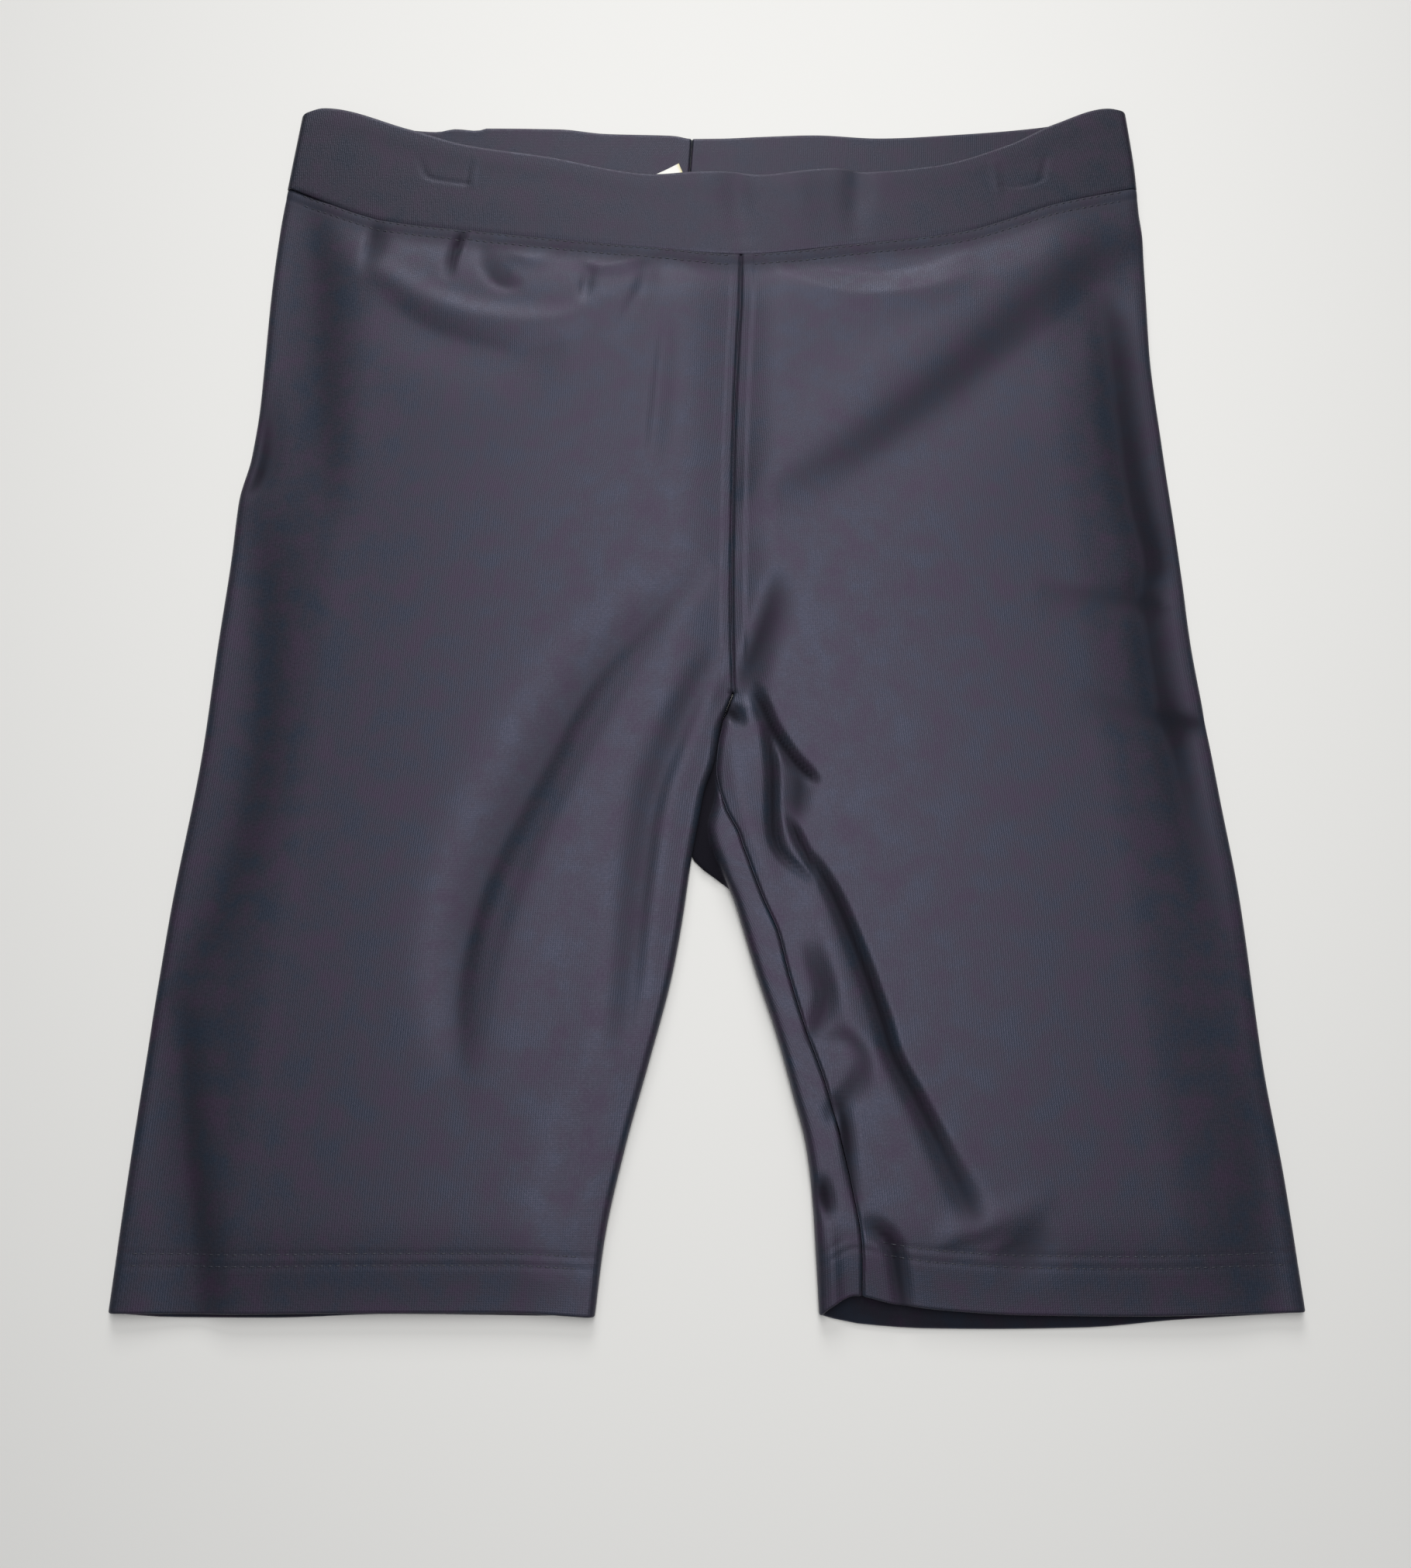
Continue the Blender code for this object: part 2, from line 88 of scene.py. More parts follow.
@dataclass(frozen=True)
class Line:
    """A smooth line through (place, value) rows, which never passes its neighbours' values."""

    rows: tuple[tuple[float, float], ...]

    def at(self, place: np.ndarray | float) -> np.ndarray:
        """The line's value.

        Args:
            place: Where along the line, one number or an array.

        Returns:
            The values there, held at the ends.
        """
        ordered = np.array(sorted(self.rows), float)
        keys, values = ordered[:, 0], ordered[:, 1]
        slopes = np.diff(values) / np.diff(keys)
        tangents = np.zeros(len(keys))
        tangents[0], tangents[-1] = slopes[0], slopes[-1]
        same_way = slopes[:-1] * slopes[1:] > 0
        steep = slopes[:-1][same_way], slopes[1:][same_way]
        tangents[1:-1][same_way] = 2 * steep[0] * steep[1] / (steep[0] + steep[1])
        place = np.clip(np.asarray(place, float), keys[0], keys[-1])
        cell = np.clip(np.searchsorted(keys, place) - 1, 0, len(slopes) - 1)
        step = keys[cell + 1] - keys[cell]
        t = (place - keys[cell]) / step
        return (
            (2 * t**3 - 3 * t**2 + 1) * values[cell]
            + (t**3 - 2 * t**2 + t) * step * tangents[cell]
            + (3 * t**2 - 2 * t**3) * values[cell + 1]
            + (t**3 - t**2) * step * tangents[cell + 1]
        )


# Lines down the garment, as (y, x)
RIGHT_SIDE_FOLD = Line((
    (241.0, -169.0), (218.0, -171.7), (203.0, -173.3), (185.0, -175.2), (153.0, -176.9), (108.0, -177.8),
    (83.0, -179.8), (65.0, -183.3), (40.0, -184.6), (4.0, -187.2), (-36.0, -189.6), (-100.0, -196.9),
    (-144.0, -200.5), (-189.0, -203.7), (-236.0, -206.4),
))
LEFT_SIDE_FOLD = Line((
    (241.0, 175.2), (207.0, 177.7), (193.0, 177.9), (178.0, 178.9), (130.0, 178.1), (87.0, 180.3),
    (40.0, 183.6), (8.0, 185.1), (-22.0, 188.1), (-55.0, 191.6), (-93.0, 195.7), (-151.0, 198.9),
    (-192.0, 203.2), (-236.0, 206.4),
))
CENTRE_FRONT = Line((
    (203.0, 14.0), (162.0, 13.5), (141.0, 12.6), (79.0, 10.4), (17.0, 9.5), (CROTCH_Y, 10.1),
))
CENTRE_BACK = Line((
    (241.0, -6.0), (203.0, -8.0), (60.0, -8.0), (20.0, -4.0), (0.0, 3.0), (CROTCH_Y, 9.8),
))
RIGHT_INNER_FOLD = Line((
    (CROTCH_Y, 9.8), (-27.0, 5.4), (-41.0, 2.9), (-52.0, -0.8), (-64.0, -3.1), (-78.0, -5.7),
    (-101.0, -9.0), (-122.0, -12.9), (-151.0, -20.5), (-182.0, -29.0), (-212.0, -35.6), (-237.0, -38.7),
))
LEFT_INNER_FOLD = Line((
    (CROTCH_Y, 10.3), (-20.0, 8.3), (-25.6, 6.0), (-37.4, 3.6), (-45.2, 3.1), (-52.3, 3.2), (-57.0, 2.6),
    (-60.0, 1.8), (-65.8, 0.5), (-71.5, 1.3), (-77.8, 3.6), (-84.7, 6.2), (-93.4, 9.9), (-103.0, 12.8),
    (-121.0, 18.1), (-142.0, 24.9), (-163.0, 30.5), (-181.0, 34.9), (-198.0, 36.8), (-214.0, 37.6),
    (-237.0, 38.6),
))
# How much of the gap between the inner folds the back's crotch spans, from 0 to 1
BACK_CROTCH = Line((
    (CROTCH_Y, 1.0), (-76.0, 1.0), (-81.0, 0.6), (-86.0, 0.15), (-89.0, 0.0), (-95.0, 0.0),
))
# How far each inseam lies from its leg's inner fold, as (y, distance)
RIGHT_INSEAM_ROLL = Line(((CROTCH_Y, 0.0), (-45.0, 6.0), (-80.0, 11.0), (-237.0, 14.0)))
LEFT_INSEAM_ROLL = Line((
    (CROTCH_Y, 0.4), (-45.0, 0.8), (-52.3, 2.4), (-56.0, 4.1), (-60.6, 6.9), (-65.0, 10.3), (-68.2, 11.9),
    (-71.5, 12.4), (-85.0, 12.2), (-92.3, 11.8), (-105.6, 13.4), (-122.6, 12.5), (-138.4, 12.0),
    (-160.0, 13.5), (-177.2, 13.9), (-193.3, 15.0), (-213.8, 17.0), (-237.0, 16.0),
))

# Lines across the garment, as (x, y)
FRONT_WAIST_SEAM = Line((
    (-173.0, 203.0), (-131.0, 187.0), (-87.0, 181.6), (-42.0, 176.7), (-25.0, 175.2), (14.0, 172.1),
    (60.0, 176.5), (104.0, 182.1), (125.0, 188.5), (142.0, 194.7), (156.0, 198.3), (178.0, 203.0),
))
BACK_WAIST_SEAM = Line((
    (-173.0, 203.0), (-113.0, 193.0), (-6.0, 189.0), (108.0, 191.0), (161.0, 200.0), (178.0, 203.0),
))
FRONT_TOP_EDGE = Line((
    (-170.0, 237.5), (-160.0, 240.8), (-124.0, 230.6), (-100.0, 223.2), (-68.0, 218.0), (-20.4, 209.4),
    (-4.0, 210.7), (9.4, 211.0), (21.6, 209.2), (53.4, 212.3), (67.0, 210.6), (94.0, 213.2),
    (125.0, 223.0), (145.0, 233.0), (168.0, 240.6), (175.5, 239.0),
))
BACK_TOP_EDGE = Line((
    (-170.0, 237.5), (-160.0, 241.2), (-124.0, 232.8), (-113.0, 232.0), (-105.5, 233.4), (-96.0, 232.6),
    (-93.0, 233.7), (-62.0, 233.3), (-42.7, 231.1), (-14.4, 230.2), (-6.0, 228.7), (5.0, 228.8),
    (22.0, 229.6), (45.0, 230.4), (72.0, 228.9), (108.0, 230.9), (141.0, 234.2), (161.0, 239.0),
    (168.0, 241.3), (175.5, 239.0),
))
RIGHT_FRONT_HEM = Line((
    (-206.0, -236.2), (-168.0, -236.5), (-107.0, -236.0), (-70.0, -236.0), (-39.0, -237.6),
))
RIGHT_BACK_HEM = Line((
    (-206.0, -236.3), (-185.0, -237.6), (-150.0, -237.8), (-110.0, -236.6), (-39.0, -237.4),
))
LEFT_FRONT_HEM = Line((
    (39.0, -236.6), (44.0, -233.4), (51.0, -230.4), (64.0, -233.0), (81.0, -235.1), (109.0, -236.7),
    (146.0, -237.1), (206.0, -235.8),
))
LEFT_BACK_HEM = Line((
    (39.0, -237.0), (53.0, -239.8), (76.0, -241.3), (98.0, -241.5), (131.0, -241.0), (161.0, -238.6),
    (206.0, -236.0),
))


def linear(colour: str) -> tuple[float, float, float, float]:
    """An sRGB hex colour as linear values.

    Args:
        colour: Such as "#3c3e48".

    Returns:
        Red, green, blue and an alpha of 1.
    """
    parts = [int(colour[i:i + 2], 16) / 255 for i in (1, 3, 5)]
    red, green, blue = (c / 12.92 if c <= 0.04045 else ((c + 0.055) / 1.055) ** 2.4 for c in parts)
    return red, green, blue, 1.0


def smooth_step(t: np.ndarray | float) -> np.ndarray:
    """0 below 0, 1 above 1, and an S-curve between."""
    t = np.clip(t, 0.0, 1.0)
    return t * t * (3 - 2 * t)


def bell(distance: np.ndarray, width: float) -> np.ndarray:
    """1 at distance 0, falling smoothly to nearly 0 at twice the width."""
    return np.exp(-((distance / width) ** 2))


@dataclass(frozen=True)
class Fold:
    """A soft ridge or trough in the front cloth.

    Each row is (x, y, height, left, right): a point of the fold's path, how far it lifts the cloth there (a
    trough is below 0), and how far it reaches to the left and the right hand of someone who walks along the
    path. The shade, from 0 to 1, is how much painted shade darkens the cloth's colour where a tight crease
    is deepest.
    """

    rows: tuple[tuple[float, float, float, float, float], ...]
    shade: float = 0.0
    shade_width: float = 0.75
    path_step: float = 2.5
    reach: float = 2.6
    least_width: float = 0.6

    def path(self) -> np.ndarray:
        """The rows joined by a smooth curve, with a point about every path_step.

        Returns:
            Rows of (x, y, height, left, right) along the curve.
        """
        rows = np.array(self.rows, float)
        padded = np.vstack([2 * rows[0] - rows[1], rows, 2 * rows[-1] - rows[-2]])
        pieces = []
        for a, b, c, d in zip(padded, padded[1:], padded[2:], padded[3:]):
            count = max(2, int(np.hypot(*(c - b)[:2]) / self.path_step))
            t = (np.arange(count) / count)[:, None]
            square, cube = 2 * a - 5 * b + 4 * c - d, 3 * b - a - 3 * c + d
            curve = 2 * b + (c - a) * t + square * t**2 + cube * t**3
            pieces.append(curve / 2)
        path = np.vstack([*pieces, rows[-1:]])
        path[:, 3:] = np.maximum(path[:, 3:], self.least_width)
        return path

    def lift_and_shade(self, x: np.ndarray, y: np.ndarray) -> tuple[np.ndarray, np.ndarray]:
        """How far the fold lifts the cloth at each place, and how dark its painted shade makes it.

        Args:
            x: Places across the garment.
            y: Places along it, of the same shape.

        Returns:
            The heights and the shades from 0 to 1, of the same shape.
        """
        path = self.path()
        margin = self.reach * path[:, 3:].max()
        low, high = path[:, :2].min(axis=0) - margin, path[:, :2].max(axis=0) + margin
        near = (x > low[0]) & (x < high[0]) & (y > low[1]) & (y < high[1])
        lifted, shaded = np.zeros(x.shape), np.zeros(x.shape)
        if not near.any():
            return lifted, shaded
        px, py = x[near], y[near]
        nearest = np.full(px.shape, np.inf)
        found, dark = np.zeros(px.shape), np.zeros(px.shape)
        deepest = abs(path[:, 2]).max()
        for start, end in zip(path, path[1:]):
            along_x, along_y = end[0] - start[0], end[1] - start[1]
            t = ((px - start[0]) * along_x + (py - start[1]) * along_y) / (along_x**2 + along_y**2)
            t = np.clip(t, 0, 1)
            away_x, away_y = px - start[0] - t * along_x, py - start[1] - t * along_y
            away = np.hypot(away_x, away_y)
            is_left = along_x * away_y - along_y * away_x > 0
            height, left, right = (start[k] + t * (end[k] - start[k]) for k in (2, 3, 4))
            width = np.where(is_left, left, right)
            closer = away < nearest
            found = np.where(closer, height * bell(away, width), found)
            # Painted shade, strongest at the crease's deepest point
            painted_shade_here = self.shade * abs(height) / deepest * bell(away, self.shade_width * width)
            dark = np.where(closer, painted_shade_here, dark)
            nearest = np.minimum(nearest, away)
        lifted[near], shaded[near] = found, dark
        return lifted, shaded


RIGHT_LEG_FOLDS = (
    # The long diagonal trough from the crotch: a wide shaded slope, then a short bright one with a swell
    # beyond it
    Fold((
        (2, 36, 0, 3, 6), (-9, 26, -1.0, 4, 9), (-24, 13, -1.6, 4.4, 11), (-41, -6, -1.9, 4.6, 13),
        (-52, -24, -2.2, 4.8, 14), (-61, -42, -2.4, 5, 14), (-70, -60, -2.4, 5, 14),
        (-78, -77, -2.3, 5, 13), (-84, -95, -2.1, 4.2, 12), (-88, -112, -1.8, 4.5, 11),
        (-90, -129, -1.2, 5, 9), (-89, -145, -0.6, 5, 8), (-88, -158, 0, 5, 7),
    ), shade=0.15),
    Fold((
        (0, 22, 0, 9, 4), (-24, -8, 0.8, 14, 5), (-44, -45, 1.1, 16, 6), (-60, -80, 1.1, 16, 6),
        (-71, -112, 0.8, 16, 6), (-77, -150, 0.3, 14, 7), (-80, -172, 0, 12, 7),
    )),
    # The narrow trough inside the inner fold, and its soft end lower down
    Fold((
        (6, 4, 0, 4, 4), (-3, -12, -1.1, 4, 6), (-13, -36, -1.6, 4, 8), (-20, -57, -1.7, 4, 8),
        (-25, -94, -1.5, 4, 8), (-28, -130, -0.9, 4, 7), (-33, -152, 0, 4, 6),
    ), shade=0.15),
    Fold(((-40, -150, 0, 6, 7), (-45, -175, -0.6, 6, 9), (-52, -206, -0.6, 6, 9), (-55, -226, 0, 6, 7))),
    # Outer side: the cloth drops to a low strip along the side fold
    Fold((
        (-167, 206, -0.6, 8, 14), (-165, 188, -1.4, 9, 14), (-160, 150, -1.6, 10, 16),
        (-156, 107, -1.4, 10, 18), (-151, 70, -0.8, 10, 18), (-148, 44, 0, 10, 16),
    )),
    Fold((
        (-178, 66, 0, 8, 8), (-174, 22, -1.3, 9, 10), (-172, -38, -1.6, 9, 12), (-179, -86, -1.4, 9, 12),
        (-192, -119, -1.0, 8, 10), (-202, -134, 0, 8, 8),
    )),
    Fold((
        (-190, -126, 0, 6, 10), (-189, -147, -1.8, 6, 12), (-185, -182, -2.8, 6.5, 14),
        (-179, -214, -2.9, 7, 16), (-176, -242, -2.2, 7, 16),
    )),
    Fold((
        (-176, 118, 0, 3, 3), (-174, 92, -0.7, 5, 3), (-176, 74, -1.0, 5, 3), (-181, 64, 0, 3, 3),
    ), shade=0.6),
    # The curved wrinkle under the waist seam: a bright upper slope, a shaded one, and a slow return
    Fold((
        (-140, 170, 0, 5, 4), (-124, 156, 0.9, 6, 5.5), (-104, 145, 1.4, 6, 5.5),
        (-83, 139.5, 1.5, 6, 5.5), (-62, 139, 1.2, 6, 5.5), (-48, 145, 0.5, 5, 5), (-36, 154, 0, 4, 4),
    )),
    Fold((
        (-134, 150, 0, 4, 10), (-112, 136, -0.7, 4, 14), (-92, 129, -0.9, 4, 16), (-74, 126, -0.8, 4, 15),
        (-56, 130, 0, 4, 10),
    )),
    # Small upright dents hanging from the waist seam
    Fold(((-135, 187, -0.2, 4, 2.5), (-136, 176, -1.3, 5, 2.5), (-139, 160, 0, 5, 3)), shade=0.35),
    Fold((
        (-99, 184, 0, 2, 2), (-101, 178, -1.1, 1.6, 2.2), (-103.5, 169, -1.1, 1.6, 2.2),
        (-105, 158, 0, 2, 2),
    ), shade=0.5),
    Fold(((-97, 184, 0, 2, 1.5), (-97, 179, 0.6, 2, 1.5), (-100, 168, 0.4, 2, 1.5), (-101, 160, 0, 2, 2))),
    Fold((
        (-91, 177, 0, 3, 3), (-88, 164, -0.8, 5, 3), (-82, 157, -0.8, 5, 3), (-74, 157, 0, 3, 3),
    ), shade=0.3),
    Fold(((-84, 174, 0, 3, 3), (-72, 169, 0.6, 3, 4), (-60, 170, 0, 3, 3))),
    Fold(((-52, 169, 0, 3, 2), (-43, 165, 0.6, 3, 3), (-31, 167, 0.9, 3, 3), (-22, 171, 0, 3, 2))),
    Fold(((-22, 168, 0, 4, 3), (-26, 156, -0.9, 6, 3), (-33, 141, -0.5, 6, 3), (-38, 130, 0, 5, 4))),
    Fold(((-47, 166, 0, 2, 2), (-49, 156, -0.8, 3, 2), (-50, 148, 0, 2, 2))),
    Fold(((-15, 142, 0, 3, 2), (-18, 127, -0.5, 6, 2), (-21, 94, -0.6, 6, 2), (-22, 76, 0, 3, 2))),
)
LEFT_LEG_FOLDS = (
    # The curved wrinkle under the waist seam
    Fold((
        (22, 171, 0, 6, 3), (42, 167, -0.7, 8, 3.5), (66, 163, -0.9, 9, 4), (86, 166, -0.7, 8, 4),
        (106, 174, 0, 6, 3),
    )),
    Fold((
        (26, 165, 0, 3, 6), (40, 157, 0.8, 4, 8), (58, 151.5, 1.1, 4, 9), (74, 151.5, 1.1, 4, 9),
        (92, 155, 0.8, 4, 8), (110, 163, 0, 4, 6),
    )),
    # The long diagonal from the centre front to the side: a broad bright slope, a shaded one, and a slow
    # return
    Fold((
        (12, 60, 0.5, 8, 7), (27, 74, 1.6, 12, 9), (50, 93, 2.0, 14, 11), (72, 113, 2.1, 15, 12),
        (97, 133, 1.9, 14, 11), (122, 152, 1.2, 12, 9), (150, 172, 0.4, 8, 7), (165, 184, 0, 6, 6),
    )),
    Fold((
        (18, 44, -0.3, 8, 12), (42, 58, -0.9, 10, 18), (65, 77, -1.2, 10, 22), (87, 97, -1.3, 10, 24),
        (112, 117, -1.5, 10, 24), (137, 136, -2.0, 10, 20), (158, 156, -2.6, 9, 16),
        (182, 174, -2.6, 8, 12),
    )),
    Fold((
        (15, 58, 0, 8, 8), (36, 72.6, -0.3, 9, 9), (70, 92.5, -0.5, 12, 12), (98.4, 112.7, -0.6, 12, 12),
        (118, 133, -0.6, 11, 11), (137.7, 154, -0.7, 10, 10), (160, 172, -0.5, 9, 9),
    ), shade=0.22),
    # The deep trough inside the side fold, and the dents that run into it
    Fold((
        (160, 162, 0, 6, 6), (164, 138, -2.0, 10, 7), (165.5, 100, -2.8, 11, 7), (168, 66, -3.2, 11, 6.5),
        (172, 40, -3.6, 10, 5.5), (169.5, 24, -2.8, 10, 5.5), (171.5, -9, -2.8, 10, 6),
        (175, -28, -3.2, 9, 5.5), (178, -48, -2.2, 8, 6), (183, -78, -1.0, 8, 7), (190, -112, 0, 7, 7),
    ), shade=0.75),
    Fold((
        (126, 27, 0, 5, 8), (147, 24, -0.8, 4, 9), (162, 23, -1.4, 4, 9), (172, 22, -1.0, 4, 7),
    ), shade=0.4),
    Fold((
        (140, -14, 0, 4, 8), (158, -20, -0.6, 4, 9), (174, -24, -1.3, 4, 8), (188, -26, -1.0, 4, 6),
    ), shade=0.5),
    # Under the centre front's lower end
    Fold((
        (28, 36, 0, 6, 4), (23.5, 17, -1.2, 8, 4), (16, -4, -1.3, 6, 4), (12, -14, 0, 4, 4),
    ), shade=0.45),
    # Bunched cloth at the crotch: a dimple, the first crease, its facet and the second crease
    Fold((
        (6.5, -20, -1.4, 1.8, 1.8), (9.8, -22.8, -2.8, 2.2, 2.2), (12.4, -26, -1.4, 1.8, 1.8),
        (14, -29, 0, 1.5, 1.5),
    ), shade=1.0),
    Fold((
        (16, -12, 0, 1.6, 3), (20.5, -18.4, -2.4, 1.6, 2.8), (25, -28.6, -2.8, 1.4, 2.8),
        (31.6, -39, -2.6, 1.3, 2.6), (38.4, -46.6, -2.0, 1.2, 2.2), (41.5, -50.5, 0, 1.2, 2),
    ), shade=1.0),
    Fold((
        (29, -40, 0, 4, 4), (34, -48, -1.0, 4, 5), (33.5, -58, -1.0, 4, 5), (33, -66, 0, 4, 4),
    ), shade=0.45),
    Fold((
        (22, -27, 0, 1.6, 1.8), (23.3, -33, -1.8, 1.6, 1.8), (24.4, -45, -2.4, 1.6, 1.8),
        (24.4, -57.7, -2.6, 1.6, 1.8), (24.6, -70, -2.4, 1.5, 1.6), (27, -76.5, -1.6, 1.4, 1.4),
        (31, -80.5, -1.2, 1.3, 1.3), (37, -85, -0.8, 1.3, 1.3), (40, -88, 0, 1.2, 1.2),
    ), shade=0.95),
    Fold((
        (10, -32, 0, 5, 3), (11, -44, 0.5, 7, 4), (13.5, -60, 0.7, 6, 4), (19, -76, 0.7, 5, 4),
        (27, -94, 0, 5, 4),
    )),
    Fold(((28, -60, 0, 2, 2), (29, -69, 0.8, 2, 2), (32, -76, 0.6, 2, 2), (36, -82, 0, 2, 2))),
    Fold((
        (30.5, -62, 0, 1.2, 1.2), (32.5, -68, -1.5, 1.3, 1.3), (35.8, -75, -1.7, 1.3, 1.3),
        (38.4, -80.5, -1.0, 1.3, 1.3), (40, -86, 0, 1.2, 1.2),
    ), shade=0.9),
    # The long deep trough down the inner thigh, and the roll beside it
    Fold((
        (37.5, -76, 0, 1.4, 2), (41, -82, -1.8, 1.6, 2.2), (46.2, -91, -2.5, 1.7, 2.6),
        (50.2, -100, -2.7, 1.7, 2.8), (57, -118, -2.8, 1.7, 2.8), (63, -136, -2.8, 1.7, 2.8),
        (67, -150, -2.6, 1.8, 3), (75.7, -166.7, -2.2, 2.0, 3.2), (84, -184, -1.6, 2.6, 4),
        (91, -198.8, -1.2, 4, 4.6), (95, -208, 0, 4, 5),
    ), shade=1.0),
    Fold((
        (36, -92, 0, 4, 4), (45, -112, 0.7, 5, 4), (52, -138, 0.9, 6, 5), (63, -160, 0.8, 6, 6),
        (76, -188, 0.4, 6, 6), (82, -202, 0, 5, 5),
    )),
    # The light ridge and the dent above the hem
    Fold(((78, -214, 0, 4, 3), (88, -210, 0.7, 5, 3), (103, -205, 0.8, 5, 4), (122, -198, 0, 4, 4))),
    Fold(((98, -220, 0, 3, 8), (109, -214, -0.8, 3, 10), (120, -206, 0, 3, 8)), shade=0.3),
    # Dents between the inseam and the long trough
    Fold((
        (36, -108, 0, 2.5, 2.5), (39, -117, -0.9, 3.4, 2.8), (42, -128, -1.2, 3.6, 2.8),
        (39, -139, -0.9, 3.2, 2.6), (35, -146, 0, 2, 2),
    ), shade=0.4),
    Fold((
        (39, -144, 0, 2, 2), (46, -142.5, -0.6, 2.8, 2.6), (53, -146, -0.8, 3, 2.8),
        (55.5, -153, -0.8, 3.2, 3), (51.5, -161.5, -1.0, 3.2, 3), (45, -168, -1.0, 2.8, 2.6),
        (42, -173, 0, 2, 2),
    ), shade=0.3),
    Fold((
        (46.5, -163, 0, 2.5, 2), (48, -174, -1.1, 3, 1.6), (50, -190, -0.6, 3, 1.8),
        (53, -204, 0, 2.5, 2),
    ), shade=0.8),
    # The bunched corner of the hem beside the inseam
    Fold((
        (53, -206, 0, 2.5, 2.5), (60, -209.5, -1.4, 3, 2.6), (64.5, -215, -1.7, 3, 2.6),
        (66.5, -226, -1.5, 3, 2.6), (68, -238, -0.8, 3, 2.6),
    ), shade=0.7),
    Fold(((41, -204, 0, 2.5, 2.5), (43, -218, 0.6, 2.5, 2.5), (44, -238, 0.8, 2.5, 2.5))),
    Fold(((40, -190, 0, 2.4, 2.4), (41, -198, -1.6, 2.6, 3), (43, -205, 0, 2.4, 2.4)), shade=0.9),
    # Soft fall towards the side hem
    Fold(((196, -140, 0, 8, 8), (196, -190, -0.7, 8, 10), (196, -238, -0.9, 8, 12))),
)


@dataclass(frozen=True)
class FrontRelief:
    """How high the front cloth lies over the floor.

    The cloth has its usual height along its folded and sewn edges and rises by crown between them, over the
    falls from each edge. The starts say how much of that rise is there at an edge already. The folds are
    added, and the whole is held smoothly between least and most.
    """

    folds: tuple[Fold, ...]
    side_fold: Line
    inner_fold: Line
    usual: float = 4.8
    least: float = 2.2
    most: float = 11.0
    crown: float = 3.4
    side_fall: float = 44.0
    inner_fall: float = 34.0
    rise_start: float = 0.25
    thigh_start: float = 0.25
    thigh_fade: float = 12.0
    waist_start: float = 0.3
    hem_start: float = 0.2
    end_fall: float = 40.0
    crotch_sink: float = -1.0
    crotch_width: float = 7.0
    fold_scale: float = 1.25

    def height(self, x: np.ndarray, y: np.ndarray) -> np.ndarray:
        """The cloth's upper face.

        Args:
            x: Places across the garment.
            y: Places along it, of the same shape.

        Returns:
            Heights over the floor, never so low that the two layers meet.
        """
        inner = np.where(y > CROTCH_Y, CENTRE_FRONT.at(y), self.inner_fold.at(y))
        crown = smooth_step(np.abs(x - self.side_fold.at(y)) / self.side_fall)
        below = smooth_step((CROTCH_Y - y) / self.thigh_fade)
        start = self.rise_start + (self.thigh_start - self.rise_start) * below
        crown = crown * smooth_step(start + np.abs(x - inner) / self.inner_fall)
        crown = crown * smooth_step(self.waist_start + (FRONT_WAIST_SEAM.at(x) - y) / self.end_fall)
        crown = crown * smooth_step(self.hem_start + (y - HEM_Y) / self.end_fall)
        loft = self.usual + self.crown * crown
        from_crotch = np.hypot(x - CENTRE_FRONT.at(CROTCH_Y), y - CROTCH_Y)
        loft = loft + self.crotch_sink * bell(from_crotch, self.crotch_width)
        for fold in self.folds:
            loft = loft + self.fold_scale * fold.lift_and_shade(x, y)[0]
        middle, half = (self.most + self.least) / 2, (self.most - self.least) / 2
        return middle + half * np.tanh((loft - middle) / half)

    def shade(self, x: np.ndarray, y: np.ndarray) -> np.ndarray:
        """How much painted shade the folds put on the cloth's colour.

        Args:
            x: Places across the garment.
            y: Places along it, of the same shape.

        Returns:
            Shades from 0 to 1.
        """
        light = np.ones(x.shape)
        for fold in self.folds:
            if fold.shade:
                light = light * (1 - fold.lift_and_shade(x, y)[1])
        return 1 - light


